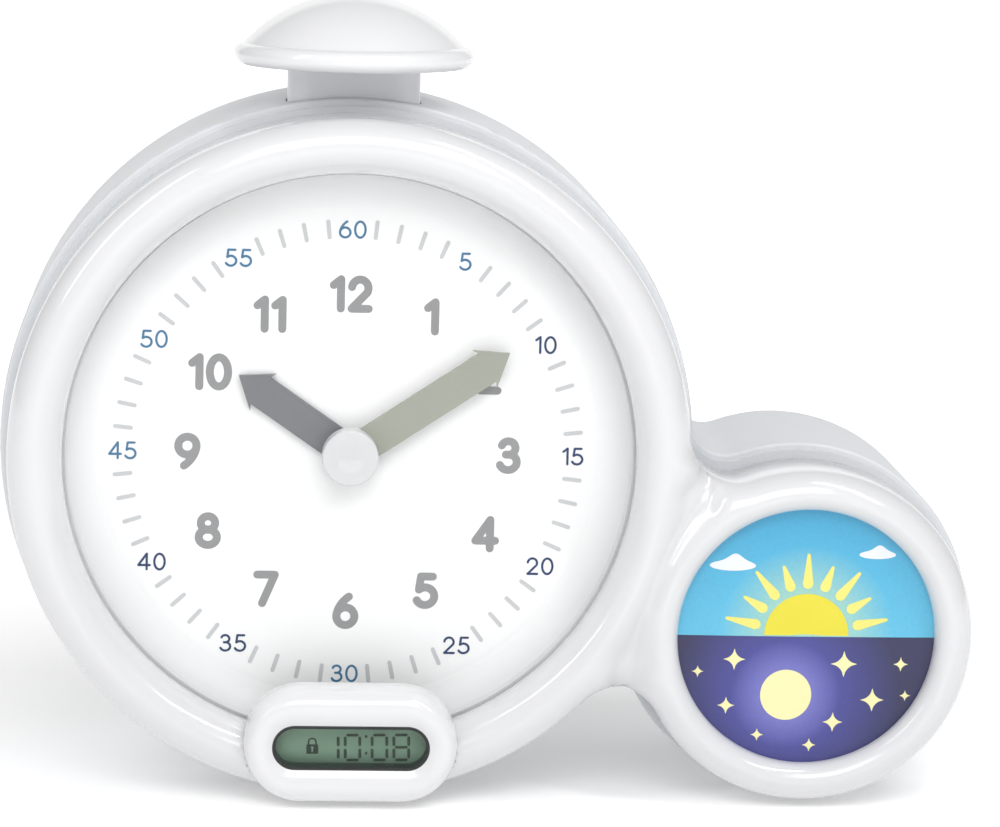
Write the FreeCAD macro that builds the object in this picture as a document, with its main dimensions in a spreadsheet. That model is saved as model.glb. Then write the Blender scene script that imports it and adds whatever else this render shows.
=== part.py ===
import FreeCAD, Part
import math
import os
import Sketcher
from FreeCAD import Placement, Rotation, Vector

# Children's alarm clock with a round night light.
# Working axes: the dial's spindle is the origin of the working frame, +X to the viewer's right, +Z up,
# +Y from the viewer into the clock. y = 0 is the plane of the seam between the bezel and the dial lens.
# Every finished piece carries one shift that brings the clock to its own frame: base plane at z = 0,
# centred in x and y.

doc = FreeCAD.newDocument("kids_clock")
dims = doc.addObject("Spreadsheet::Sheet", "dims")

TABLE = [
    # outline of the case, seen from the front
    ("big_r", 73.5, "case outline, clock lobe"),
    ("small_r", 36.5, "case outline, night light lobe"),
    ("small_x", 99.5, "night light axis"),
    ("small_z", -37.0, "night light axis"),
    ("neck_r", 10.0, "hollow radius between the lobes"),
    # levels in depth
    ("y_pod", -13.0, "front of the display frame"),
    ("y_crest", -9.0, "crest of the bezel"),
    ("y_web", -3.4, "web between the two rings"),
    ("y_skirt", 12.0, "rear edge of the bezel"),
    ("y_rear", 16.0, "front edge of the rear shell"),
    ("y_lip", 17.4, "where the rear shell steps out"),
    ("y_back", 70.0, "back face of the rear shell"),
    ("wall", 2.4, "wall of the rear shell"),
    ("rear_out", 2.5, "rear shell outside the bezel's outline"),
    ("back_round", 9.0, "rounding of the back edge"),
    ("z_flat", -74.0, "flat under the rear shell"),
    ("z_base", -75.0, "underside of the rubber feet"),
    # dial
    ("seam_r", 61.75, "seam of the dial lens"),
    ("lens_r", 62.8, "dial lens edge"),
    ("dial_y", 8.0, "printed face of the dial"),
    ("dial_flat_r", 54.5, "flat part of the dial"),
    ("sheet", 1.5, "thickness of the dial moulding"),
    # hands
    ("minute_len", 41.0, "minute hand, axis to tip"),
    ("hour_len", 29.4, "hour hand, axis to tip"),
    ("hand_w", 7.2, "hand blade width"),
    ("barb_w", 9.8, "arrow head width"),
    ("barb_l", 6.4, "arrow head length"),
    ("hand_t", 1.1, "hand thickness"),
    ("minute_deg", 56.3, "minute hand at rest, clockwise from 12"),
    ("hour_deg", -55.4, "hour hand at rest, clockwise from 12"),
    ("cap_r", 6.1, "hub cap"),
    # night light
    ("disc_seam_r", 28.1, "picture disc seam"),
    ("disc_r", 29.2, "picture disc edge"),
    ("disc_y", -4.6, "front of the picture disc"),
    ("disc_t", 1.4, "picture disc thickness"),
    ("box_r", 30.6, "light box, outside"),
    # display
    ("pod_x", 1.0, "display frame centre"),
    ("pod_z", -61.2, "display frame centre"),
    ("pod_w", 46.4, "display frame width"),
    ("pod_h", 25.2, "display frame height"),
    ("win_w", 33.8, "display window width"),
    ("win_h", 9.6, "display window height"),
    # top button
    ("btn_y", 28.0, "button axis"),
    ("dome_r", 26.4, "dome radius"),
    ("dome_z", 82.6, "underside of the dome"),
    ("dome_top", 98.2, "top of the dome"),
    ("stem_w", 29.0, "button stem width"),
    ("stem_d", 16.0, "button stem depth"),
    ("stem_c", 5.5, "button stem corner radius"),
    ("stem_gap", 0.35, "clearance round the stem"),
    # gear train
    ("post_ring", 67.2, "screw posts from the spindle"),
    ("train_a", 12.0, "motion work centre distance"),
    ("train_b", 14.7, "third wheel centre distance"),
    ("train_c", 12.6, "rotor centre distance"),
    # battery bay
    ("bay_x", 0.0, "battery bay centre"),
    ("bay_z", -24.0, "battery bay centre"),
    ("bay_w", 48.4, "battery bay width"),
    ("bay_h", 57.0, "battery bay height"),
    ("cell_r", 7.1, "AA cell radius"),
    ("cell_l", 50.0, "AA cell length"),
    ("door_t", 2.2, "battery door"),
    # rear controls
    ("key_r", 4.5, "rear key"),
    ("key_z", 22.0, "row of rear keys"),
    ("key_step", 14.0, "pitch of the rear keys"),
    ("spk_x", 26.0, "speaker axis"),
    ("spk_z", 42.0, "speaker axis"),
    ("spk_r", 15.0, "speaker"),
    # frame shift
    ("shift_x", -31.25, "to the case's own frame"),
    ("shift_y", -29.1, "to the case's own frame"),
    ("shift_z", 75.0, "to the case's own frame"),
]
VAL = {}
for row, (alias, value, note) in enumerate(TABLE, start=1):
    dims.set("A%d" % row, alias)
    dims.set("B%d" % row, str(value))
    dims.set("C%d" % row, note)
    dims.setAlias("B%d" % row, alias)
    VAL[alias] = float(value)
doc.recompute()


class Dim:
    """A size with its value and the spreadsheet expression that drives it."""

    def __init__(self, v, e):
        self.v = float(v)
        self.e = e

    def _mix(self, other, sign, flip=False):
        a, b = (as_dim(other), self) if flip else (self, as_dim(other))
        if sign == "+":
            v = a.v + b.v
        elif sign == "-":
            v = a.v - b.v
        elif sign == "*":
            v = a.v * b.v
        else:
            v = a.v / b.v
        return Dim(v, "(%s) %s (%s)" % (a.e, sign, b.e))

    def __add__(self, o):
        return self._mix(o, "+")

    def __radd__(self, o):
        return self._mix(o, "+", True)

    def __sub__(self, o):
        return self._mix(o, "-")

    def __rsub__(self, o):
        return self._mix(o, "-", True)

    def __mul__(self, o):
        return self._mix(o, "*")

    def __rmul__(self, o):
        return self._mix(o, "*", True)

    def __truediv__(self, o):
        return self._mix(o, "/")

    def __neg__(self):
        return Dim(-self.v, "-(%s)" % self.e)


def as_dim(x):
    return x if isinstance(x, Dim) else Dim(x, repr(float(x)))


class Sizes:
    def __getattr__(self, name):
        return Dim(VAL[name], "dims." + name)


d = Sizes()
SHIFT = (d.shift_x, d.shift_y, d.shift_z)
NODES = []


def bind(obj, prop, dim):
    """Binds a property to the sheet, or sets a plain number."""
    if isinstance(dim, Dim):
        obj.setExpression(prop, dim.e)
    else:
        obj.setExpression(prop, repr(float(dim)))


def place(obj, x=0.0, y=0.0, z=0.0, rot=None):
    x, y, z = as_dim(x), as_dim(y), as_dim(z)
    obj.Placement = Placement(Vector(x.v, y.v, z.v), rot or Rotation())
    for axis, q in zip("xyz", (x, y, z)):
        bind(obj, "Placement.Base." + axis, q)
    return obj


def finish(obj, label, x=0.0, y=0.0, z=0.0):
    """Names a finished piece and gives it the shift to the clock's frame."""
    obj.Label = label
    place(obj, SHIFT[0] + x, SHIFT[1] + y, SHIFT[2] + z)
    NODES.append(obj)
    return obj


count = [0]


def fresh(kind, stem):
    count[0] += 1
    return doc.addObject(kind, "%s_%d" % (stem, count[0]))


ALONG_Y = Rotation(Vector(1, 0, 0), -90)
TO_XZ = Rotation(Vector(1, 0, 0), 90)


def cyl(x, y, z, r, h, axis="y", angle=360):
    """A cylinder that starts at (x, y, z) and runs along +Y, +Z or +X."""
    c = fresh("Part::Cylinder", "cyl")
    rot = {"y": ALONG_Y, "z": Rotation(), "x": Rotation(Vector(0, 1, 0), 90)}[axis]
    place(c, x, y, z, rot)
    bind(c, "Radius", as_dim(r))
    bind(c, "Height", as_dim(h))
    return c


def cone(x, y, z, r1, r2, h):
    c = fresh("Part::Cone", "cone")
    place(c, x, y, z, ALONG_Y)
    bind(c, "Radius1", as_dim(r1))
    bind(c, "Radius2", as_dim(r2))
    bind(c, "Height", as_dim(h))
    return c


def box(x0, x1, y0, y1, z0, z1):
    x0, x1, y0, y1, z0, z1 = map(as_dim, (x0, x1, y0, y1, z0, z1))
    b = fresh("Part::Box", "box")
    place(b, x0, y0, z0)
    bind(b, "Length", x1 - x0)
    bind(b, "Width", y1 - y0)
    bind(b, "Height", z1 - z0)
    return b


def fuse(*parts):
    if len(parts) == 1:
        return parts[0]
    f = fresh("Part::MultiFuse", "fuse")
    f.Shapes = list(parts)
    return f


def cut(base, *tools):
    c = fresh("Part::Cut", "cut")
    c.Base = base
    c.Tool = tools[0] if len(tools) == 1 else fuse(*tools)
    return c


def common(a, b):
    c = fresh("Part::MultiCommon", "common")
    c.Shapes = [a, b]
    return c


def group(*parts):
    c = fresh("Part::Compound", "group")
    c.Links = list(parts)
    return c


def put_one(sk, pin, kind, q):
    q = as_dim(q)
    i = sk.addConstraint(Sketcher.Constraint(kind, -1, 1, pin[0], pin[1], q.v))
    if q.e != repr(q.v):
        sk.setExpression("Constraints[%d]" % i, q.e)


def put(sk, pin, x, y):
    """Fixes a sketch point at (x, y) from the sketch's origin."""
    put_one(sk, pin, "DistanceX", x)
    put_one(sk, pin, "DistanceY", y)


def circle_through(a, m, b):
    """Centre and radius of the circle through three points of the XY plane."""
    k = 2 * (a.x * (m.y - b.y) + m.x * (b.y - a.y) + b.x * (a.y - m.y))
    sa, sm, sb = (p.x * p.x + p.y * p.y for p in (a, m, b))
    x = (sa * (m.y - b.y) + sm * (b.y - a.y) + sb * (a.y - m.y)) / k
    y = (sa * (b.x - m.x) + sm * (a.x - b.x) + sb * (m.x - a.x)) / k
    return Vector(x, y, 0), math.hypot(a.x - x, a.y - y)


def draw(sk, start, path):
    """A closed profile of lines and three-point arcs, its corners driven by the sheet.
    path holds ("line", (x, y)), ("arc", (mx, my), (x, y)) or ("cap", (x, y)), a cap being an arc
    whose centre lies on the axis."""
    pts = [tuple(as_dim(c) for c in start)]
    ids = []
    for step in path:
        a = Vector(pts[-1][0].v, pts[-1][1].v, 0)
        end = tuple(as_dim(c) for c in step[-1])
        b = Vector(end[0].v, end[1].v, 0)
        if step[0] == "line":
            g = sk.addGeometry(Part.LineSegment(a, b), False)
            ids.append((g, 1, 2))
        else:
            if step[0] == "cap":
                cy = (a.x**2 + a.y**2 - b.x**2 - b.y**2) / (2 * (a.y - b.y))
                c, r = Vector(0, cy, 0), math.hypot(a.x, a.y - cy)
                mid = (a + b) * 0.5 - c
                m = c + mid * (r / mid.Length)
            else:
                m = Vector(as_dim(step[1][0]).v, as_dim(step[1][1]).v, 0)
                c, r = circle_through(a, m, b)
            ta, tm, tb = (math.atan2(p.y - c.y, p.x - c.x) for p in (a, m, b))
            turn = 2 * math.pi
            onward = (tm - ta) % turn < (tb - ta) % turn
            t1, t2 = (ta, tb) if onward else (tb, ta)
            if t2 < t1:
                t2 += turn
            g = sk.addGeometry(Part.ArcOfCircle(Part.Circle(c, Vector(0, 0, 1), r), t1, t2), False)
            ids.append((g, 1, 2) if onward else (g, 2, 1))
            if step[0] == "cap":
                put_one(sk, (g, 3), "DistanceX", 0.0)
            elif abs(r - (b - a).Length / 2) > 1e-6:
                sk.addConstraint(Sketcher.Constraint("Radius", g, r))
            elif abs(b.x - a.x) > abs(b.y - a.y):
                put_one(sk, (g, 3), "DistanceY", c.y)
            else:
                put_one(sk, (g, 3), "DistanceX", c.x)
        pts.append(end)
    for k, (g, p0, p1) in enumerate(ids):
        h, q0, q1 = ids[(k + 1) % len(ids)]
        sk.addConstraint(Sketcher.Constraint("Coincident", g, p1, h, q0))
        put(sk, (g, p0), *pts[k])
    return sk


def new_body(label):
    body = doc.addObject("PartDesign::Body", label + "_body")
    body.Label = label
    return body


def plane_sketch(body, name, plane, off=0.0):
    sk = body.newObject("Sketcher::SketchObject", name)
    sup = [f for f in body.Origin.OriginFeatures if f.Role == plane][0]
    sk.AttachmentSupport = [(sup, "")]
    sk.MapMode = "FlatFace"
    off = as_dim(off)
    sk.AttachmentOffset = Placement(Vector(0, 0, off.v), Rotation())
    bind(sk, "AttachmentOffset.Base.z", off)
    return sk


def turned(label, start, path, plane="XY_Plane"):
    """A body turned from a profile. XY_Plane turns it about Y (profile x is the radius, y the depth);
    XZ_Plane turns it about Z."""
    body = new_body(label)
    sk = plane_sketch(body, label + "_profile", plane)
    draw(sk, start, path)
    rev = body.newObject("PartDesign::Revolution", label + "_turn")
    rev.Profile = sk
    rev.ReferenceAxis = (sk, ["V_Axis"])
    rev.Angle = 360
    sk.Visibility = False
    doc.recompute()
    return body


def outline(off, y):
    """The case's outline, two lobes joined by hollow arcs, grown by off, on the plane y."""
    off = as_dim(off)
    sk = fresh("Sketcher::SketchObject", "outline")
    place(sk, 0.0, y, 0.0, TO_XZ)
    R, r, f = d.big_r + off, d.small_r + off, d.neck_r - off
    cx, cz = d.small_x.v, d.small_z.v
    dist, base = math.hypot(cx, cz), math.atan2(cz, cx)
    a, b = R.v + f.v, r.v + f.v
    ang = math.acos((dist * dist + a * a - b * b) / (2 * dist * a))
    top = Vector(a * math.cos(base + ang), a * math.sin(base + ang), 0)
    low = Vector(a * math.cos(base - ang), a * math.sin(base - ang), 0)
    C = Vector(cx, cz, 0)

    def bearing(p, q):
        return math.atan2(q.y - p.y, q.x - p.x)

    O = Vector(0, 0, 0)
    n = Vector(0, 0, 1)
    t1, t2 = bearing(O, top), bearing(O, low)
    big = sk.addGeometry(Part.ArcOfCircle(Part.Circle(O, n, R.v), t1, t2 + 2 * math.pi), False)
    u1, u2 = bearing(low, O), bearing(low, C)
    while u1 < u2:
        u1 += 2 * math.pi
    lowa = sk.addGeometry(Part.ArcOfCircle(Part.Circle(low, n, f.v), u2, u1), False)
    w1, w2 = bearing(C, low), bearing(C, top)
    while w2 < w1:
        w2 += 2 * math.pi
    small = sk.addGeometry(Part.ArcOfCircle(Part.Circle(C, n, r.v), w1, w2), False)
    v1, v2 = bearing(top, C), bearing(top, O)
    while v2 > v1:
        v1 += 2 * math.pi
    topa = sk.addGeometry(Part.ArcOfCircle(Part.Circle(top, n, f.v), v2, v1), False)
    sk.addConstraint(Sketcher.Constraint("Coincident", big, 3, -1, 1))
    put(sk, (small, 3), d.small_x, d.small_z)
    for g, q in ((big, R), (small, r), (lowa, f), (topa, f)):
        i = sk.addConstraint(Sketcher.Constraint("Radius", g, q.v))
        sk.setExpression("Constraints[%d]" % i, q.e)

    def ends(g, p):
        return sk.getPoint(g, p)

    for g, h in ((big, lowa), (lowa, small), (small, topa), (topa, big)):
        best = min(
            ((ends(g, i) - ends(h, j)).Length, i, j) for i in (1, 2) for j in (1, 2)
        )
        sk.addConstraint(Sketcher.Constraint("Tangent", g, best[1], h, best[2]))
    return sk


def slab(off, y0, y1):
    """The case's outline grown by off, solid from y0 to y1."""
    y0, y1 = as_dim(y0), as_dim(y1)
    e = fresh("Part::Extrusion", "slab")
    e.Base = outline(off, y0)
    e.DirMode = "Custom"
    e.Dir = Vector(0, 1, 0)
    e.Solid = True
    bind(e, "LengthFwd", y1 - y0)
    return e


def stadium(w, h, y0, y1, cx, cz, grow=0.0):
    """A rounded-end slab along X, w by h, from y0 to y1."""
    w, h, y0, y1, cx, cz, grow = map(as_dim, (w, h, y0, y1, cx, cz, grow))
    r = h / 2 + grow
    half = w / 2 - h / 2
    return fuse(
        cyl(cx - half, y0, cz, r, y1 - y0),
        cyl(cx + half, y0, cz, r, y1 - y0),
        box(cx - half, cx + half, y0, y1, cz - r, cz + r),
    )


def rounded(base, size, pick):
    """Rounds the edges of base that pick accepts."""
    doc.recompute()
    f = fresh("Part::Fillet", "round")
    f.Base = base
    edges = [(i, size, size) for i, e in enumerate(base.Shape.Edges, start=1) if pick(e)]
    if not edges:
        raise RuntimeError("no edge to round on " + base.Name)
    f.Edges = edges
    return f


def stem_block(grow, z0, z1):
    """The button stem's rounded block, grown sideways by grow."""
    grow = as_dim(grow)
    hw, hd, r = d.stem_w / 2 + grow, d.stem_d / 2 + grow, d.stem_c + grow
    parts = [
        box(r - hw, hw - r, d.btn_y - hd, d.btn_y + hd, z0, z1),
        box(-hw, hw, d.btn_y - hd + r, d.btn_y + hd - r, z0, z1),
    ]
    for sx in (-1, 1):
        for sy in (-1, 1):
            parts.append(cyl((hw - r) * sx, d.btn_y + (hd - r) * sy, z0, r, as_dim(z1) - z0, "z"))
    return fuse(*parts)


def flat_at(axis, level, tol=1e-4):
    """Accepts an edge that lies in one plane across the axis."""
    k = {"x": 0, "y": 1, "z": 2}[axis]

    def test(e):
        b = e.BoundBox
        lo, hi = ((b.XMin, b.XMax), (b.YMin, b.YMax), (b.ZMin, b.ZMax))[k]
        return abs(lo - level) < tol and abs(hi - level) < tol

    return test


def made(shape, label, x=0.0, y=0.0, z=0.0):
    """A piece whose shape is worked out in code from the sheet's numbers."""
    if shape.isNull() or not shape.isValid():
        raise RuntimeError(label + " is not valid")
    f = doc.addObject("Part::Feature", label)
    f.Shape = shape
    return finish(f, label, x, y, z)


def gear(teeth, m, y0, y1, phase=0.0, cx=0.0, cz=0.0, bore=0.0, back=0.08, add=0.7, ded=1.0):
    """A spur wheel about Y at (cx, cz). phase turns a tooth's centre line, in radians from +X towards +Z."""
    rp = m * teeth / 2
    rb = rp * math.cos(math.radians(20))
    ra, rf = rp + add * m, rp - ded * m

    def inv(r):
        c = min(1.0, rb / r)
        a = math.acos(c)
        return math.tan(a) - a

    half = math.pi / (2 * teeth) - back / (2 * rp)
    flank = []
    lo = max(rb, rf)
    for k in range(4):
        r = lo + (ra - lo) * k / 3
        flank.append((r, half + inv(rp) - inv(r)))
    if rf < rb:
        flank.insert(0, (rf, flank[0][1]))
    pts = []
    for t in range(teeth):
        c = phase + 2 * math.pi * t / teeth
        for r, a in flank:
            pts.append((r, c - a))
        for r, a in reversed(flank):
            pts.append((r, c + a))
    v = [Vector(cx + r * math.cos(a), y0, cz + r * math.sin(a)) for r, a in pts]
    v.append(v[0])
    face = Part.Face(Part.makePolygon(v))
    solid = face.extrude(Vector(0, y1 - y0, 0))
    if bore:
        solid = solid.cut(Part.makeCylinder(bore, y1 - y0 + 2, Vector(cx, y0 - 1, cz), Vector(0, 1, 0)))
    return solid


def rod(cx, cz, y0, y1, r):
    return Part.makeCylinder(r, y1 - y0, Vector(cx, y0, cz), Vector(0, 1, 0))


# ---------------------------------------------------------------- case
post_xy = [
    (sx * VAL["post_ring"] * math.sqrt(0.5), sz * VAL["post_ring"] * math.sqrt(0.5))
    for sx in (1, -1)
    for sz in (1, -1)
]
ROOT2 = 0.7071067811865476
posts = [(d.post_ring * (sx * ROOT2), d.post_ring * (sz * ROOT2)) for sx in (1, -1) for sz in (1, -1)]

# front bezel: a skirt and web on the case's outline, with two turned rings on it
skin = rounded(slab(0.0, d.y_web, d.y_skirt), 3.0, flat_at("y", VAL["y_web"]))
hollow = slab(-2.2, d.y_web + 2.2, d.y_skirt + 1)
plate = cut(skin, hollow, cyl(0, -20, 0, d.seam_r + 1, 60), cyl(d.small_x, -20, d.small_z, d.disc_seam_r + 1, 60))


def ring(label, start, path, x=0.0, z=0.0):
    b = turned(label, start, path)
    place(b, x, 0.0, z)
    return b


big_ring = ring(
    "clock_ring",
    (d.seam_r, 0.0),
    [
        ("line", (d.seam_r, -1.6)),
        ("arc", (d.seam_r + 2.35, d.y_crest + 2.05), (d.seam_r + 6.2, d.y_crest)),
        ("arc", (d.big_r - 1.62, d.y_crest + 2.3), (d.big_r, -3.0)),
        ("line", (d.big_r, 2.6)),
        ("line", (d.big_r - 2.2, 2.6)),
        ("line", (d.big_r - 2.2, -2.6)),
        ("line", (d.seam_r + 6.0, d.y_crest + 2.2)),
        ("line", (d.seam_r + 3.4, -3.4)),
        ("line", (d.seam_r + 3.4, 2.6)),
        ("line", (d.lens_r + 0.15, 2.6)),
        ("line", (d.lens_r + 0.15, 0.0)),
        ("line", (d.seam_r, 0.0)),
    ],
)
small_ring = ring(
    "light_ring",
    (d.disc_seam_r, d.disc_y),
    [
        ("line", (d.disc_seam_r, d.disc_y - 0.8)),
        ("arc", (d.disc_seam_r + 1.4, d.y_crest + 0.75), (d.disc_seam_r + 4.4, d.y_crest - 0.4)),
        ("arc", (d.small_r - 1.15, d.y_crest + 1.4), (d.small_r, d.y_crest + 5.2)),
        ("line", (d.small_r, 2.6)),
        ("line", (d.small_r - 2.2, 2.6)),
        ("line", (d.small_r - 2.2, d.y_crest + 5.4)),
        ("line", (d.disc_seam_r + 4.4, d.y_crest + 1.9)),
        ("line", (d.disc_seam_r + 3.0, d.disc_y + 0.4)),
        ("line", (d.disc_seam_r + 3.0, 2.6)),
        ("line", (d.disc_r + 0.15, 2.6)),
        ("line", (d.disc_r + 0.15, d.disc_y)),
        ("line", (d.disc_seam_r, d.disc_y)),
    ],
    d.small_x,
    d.small_z,
)
post_solids = [cyl(px, 0.4, pz, 3.2, 42.5) for px, pz in posts]
post_bores = [cyl(px, 20, pz, 1.25, 30) for px, pz in posts]
pod_seat = stadium(d.pod_w, d.pod_h, -20.0, d.y_web, d.pod_x, d.pod_z, 0.12)
ribbon_slot = box(d.pod_x - 6.7, d.pod_x + 6.7, -6.0, 0.5, -69.3, -67.4)
bezel = cut(
    fuse(
        cut(plate, cyl(0, -20, 0, d.lens_r + 0.15, 60), cyl(d.small_x, -20, d.small_z, d.disc_r + 0.15, 60)),
        big_ring,
        small_ring,
        *post_solids,
    ),
    pod_seat,
    ribbon_slot,
    *post_bores,
)
finish(bezel, "front_bezel")

# grey frame that shows in the joint line between the bezel and the rear shell
frame_out = fuse(slab(-2.3, 8.6, 19.4), slab(-0.8, d.y_skirt + 0.05, d.y_rear - 0.05))
mid = cut(frame_out, slab(-3.0, 8.0, 20.0))
finish(mid, "joint_frame")

# rear shell: outer form, its cavity, screw wells, and the openings through its walls
outer_raw = rounded(
    slab(d.rear_out, d.y_lip, d.y_back),
    VAL["back_round"],
    flat_at("y", VAL["y_back"]),
)
outer_soft = rounded(outer_raw, 0.8, flat_at("y", VAL["y_lip"]))
outer = cut(outer_soft, box(-120, 200, -5, 90, -90, d.z_flat))
inner_raw = rounded(
    slab(d.rear_out - d.wall, d.y_lip - 2, d.y_back - d.wall),
    VAL["back_round"] - VAL["wall"],
    flat_at("y", VAL["y_back"] - VAL["wall"]),
)
inner = cut(inner_raw, box(-120, 200, -5, 90, -90, d.z_flat + 2.2))
lip = cut(slab(1.0, d.y_rear, d.y_lip + 0.6), slab(-2.2, d.y_rear - 1, d.y_lip + 2))
lip_cut = cut(lip, box(-120, 200, -5, 90, -90, d.z_flat))
well_xy = posts + [(d.small_x + 16, d.small_z + 14), (d.small_x - 16, d.small_z - 14)]
wells = common(
    outer,
    fuse(*[cyl(px, 43.0, pz, 4.8, 40) for px, pz in well_xy]),
)
well_bores = [cyl(px, 45.4, pz, 3.4, 60) for px, pz in well_xy]
screw_holes = [cyl(px, 40, pz, 1.6, 10) for px, pz in well_xy]
# battery bay: a box let into the back
bx0, bx1 = d.bay_x - d.bay_w / 2, d.bay_x + d.bay_w / 2
bz0, bz1 = d.bay_z - d.bay_h / 2, d.bay_z + d.bay_h / 2
bay_out = common(outer, box(bx0 - 1.8, bx1 + 1.8, 49.6, d.y_back + 2, bz0 - 1.8, bz1 + 1.8))
bay_in = box(bx0, bx1, 51.4, d.y_back + 5, bz0, bz1)
door_step = box(bx0 - 1.5, bx1 + 1.5, d.y_back - d.door_t - 0.1, d.y_back + 5, bz0 - 1.5, bz1 + 1.5)
# boss for the door's screw, and two for the key board
door_boss = common(outer, box(-6, 6, 58.0, 75.0, 5.5, 13.4))
board_bosses = [cyl(px, 61.4, 37.5, 2.6, 6.6) for px in (-48.5, 6.5)]
door_tab_step = box(-5.3, 5.3, d.y_back - d.door_t - 0.1, d.y_back + 5, bz1, 12.9)
# frame round the top button's stem
stem_hole = stem_block(d.stem_gap, 60.0, 100.0)
# rear keys, switches, speaker grille and power inlet
key_xs = [d.key_step * k for k in (-3, -2, -1, 0)]
key_holes = [cyl(kx, 60, d.key_z, d.key_r + 0.3, 20) for kx in key_xs]
switch_slots = [box(sx - 6.2, sx + 6.2, 60, 80, 33.2, 38.4) for sx in (-34.0, -14.0)]
grille = []
for k in range(19):
    if k == 0:
        gx, gz = 0.0, 0.0
    elif k < 7:
        gx, gz = 4.2 * math.cos(math.pi * k / 3), 4.2 * math.sin(math.pi * k / 3)
    else:
        gx, gz = 8.4 * math.cos(math.pi * k / 6), 8.4 * math.sin(math.pi * k / 6)
    grille.append(cyl(d.spk_x + gx, 60, d.spk_z + gz, 0.95, 20))
inlet_x, inlet_z = -46.0, -12.0
inlet_hole = box(inlet_x - 4.8, inlet_x + 4.8, 60, 80, inlet_z - 2.0, inlet_z + 2.0)
rear = cut(
    fuse(cut(outer, inner), lip_cut, wells, bay_out, door_boss, *board_bosses),
    door_tab_step,
    cyl(0, 57, 9.2, 1.5, 20),
    *well_bores,
    *screw_holes,
    bay_in,
    door_step,
    stem_hole,
    *key_holes,
    *switch_slots,
    *grille,
    inlet_hole,
)
finish(rear, "rear_shell")

# battery door with two tabs and a coin-slot screw
door_body = fuse(
    box(bx0 - 1.3, bx1 + 1.3, d.y_back - d.door_t, d.y_back, bz0 - 1.3, bz1 + 1.3),
    box(-5, 5, d.y_back - d.door_t, d.y_back, bz1 + 1, 12.6),
    box(bx0 + 8, bx0 + 14, d.y_back - d.door_t - 1.6, d.y_back - d.door_t, bz0 + 0.2, bz0 + 1.8),
    box(bx1 - 14, bx1 - 8, d.y_back - d.door_t - 1.6, d.y_back - d.door_t, bz0 + 0.2, bz0 + 1.8),
)
grips = [box(-9, 9, d.y_back - 0.6, d.y_back + 1, bz0 + 3.0 + 2.4 * k, bz0 + 4.2 + 2.4 * k) for k in range(4)]
door = cut(door_body, cyl(0, d.y_back - 1.2, 9.2, 3.1, 5), cyl(0, d.y_back - 5, 9.2, 1.6, 8), *grips)
finish(door, "battery_door")
door_screw = cut(
    fuse(cyl(0, d.y_back - 1.15, 9.2, 2.8, 1.1), cyl(0, d.y_back - 9.0, 9.2, 1.4, 8.0)),
    box(-2.4, 2.4, d.y_back - 0.6, d.y_back + 2, 8.85, 9.55),
)
finish(group(door_screw), "door_screw")

# three AA cells and their contacts
cells, tips, plus, minus = [], [], [], []
for k in (-1, 0, 1):
    cx = d.bay_x + 15.8 * k
    up = k != 0
    z0 = d.bay_z - d.cell_l / 2 - 1.0
    cy = 51.4 + VAL["cell_r"] + 0.3
    body_cell = cyl(cx, cy, z0, d.cell_r, d.cell_l - 1.0, "z")
    tip = cyl(cx, cy, (z0 + d.cell_l - 1.0) if up else (z0 - 1.0), 2.6, 1.0, "z")
    cells.append(fuse(body_cell, tip))
finish(group(*cells), "aa_cells")
contact_top = [box(d.bay_x + 15.8 * k - 5, d.bay_x + 15.8 * k + 5, 52.2, 64.2, bz1 - 0.7, bz1 - 0.2) for k in (-1, 0, 1)]
contact_low = [box(d.bay_x + 15.8 * k - 5, d.bay_x + 15.8 * k + 5, 52.2, 64.2, bz0 + 0.2, bz0 + 0.7) for k in (-1, 0, 1)]
finish(group(*contact_top, *contact_low), "battery_contacts")

# case screws
case_screws = []
for px, pz in well_xy:
    head = cut(cyl(px, 45.45, pz, 2.9, 1.9), box(px - 0.45, px + 0.45, 46.3, 50, pz - 2.0, pz + 2.0), box(px - 2.0, px + 2.0, 46.3, 50, pz - 0.45, pz + 0.45))
    case_screws.append(fuse(head, cyl(px, 31.0, pz, 1.2, 14.6)))
finish(group(*case_screws), "case_screws")

# rubber feet on the flats under the rear shell
pads = [cyl(x, y, d.z_base, 4.4, d.z_flat - d.z_base, "z") for x in (-9.5, 9.5) for y in (24.0, 60.0)]
pads += [cyl(d.small_x, y, d.z_base, 4.4, d.z_flat - d.z_base, "z") for y in (24.0, 60.0)]
finish(group(*pads), "rubber_feet")

# ---------------------------------------------------------------- dial
lens = turned(
    "dial_lens",
    (0.0, -2.6),
    [
        ("cap", (d.seam_r, 0.05)),
        ("line", (d.lens_r, 0.05)),
        ("line", (d.lens_r, 1.25)),
        ("line", (d.seam_r, 1.25)),
        ("cap", (0.0, -1.4)),
        ("line", (0.0, -2.6)),
    ],
)
finish(lens, "dial_lens")
dish = turned(
    "dial_dish",
    (3.9, d.dial_y),
    [
        ("line", (d.dial_flat_r, d.dial_y)),
        ("arc", (d.dial_flat_r + 4.4, d.dial_y - 1.75), (d.seam_r - 0.9, 3.6)),
        ("line", (d.seam_r - 0.6, 1.3)),
        ("line", (d.lens_r, 1.3)),
        ("line", (d.lens_r, 4.2)),
        ("arc", (d.dial_flat_r + 5.5, d.dial_y - 0.4), (d.dial_flat_r + 0.4, d.dial_y + 1.5)),
        ("line", (3.9, d.dial_y + 1.5)),
        ("line", (3.9, d.dial_y)),
    ],
)
finish(dish, "dial_dish")


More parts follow.
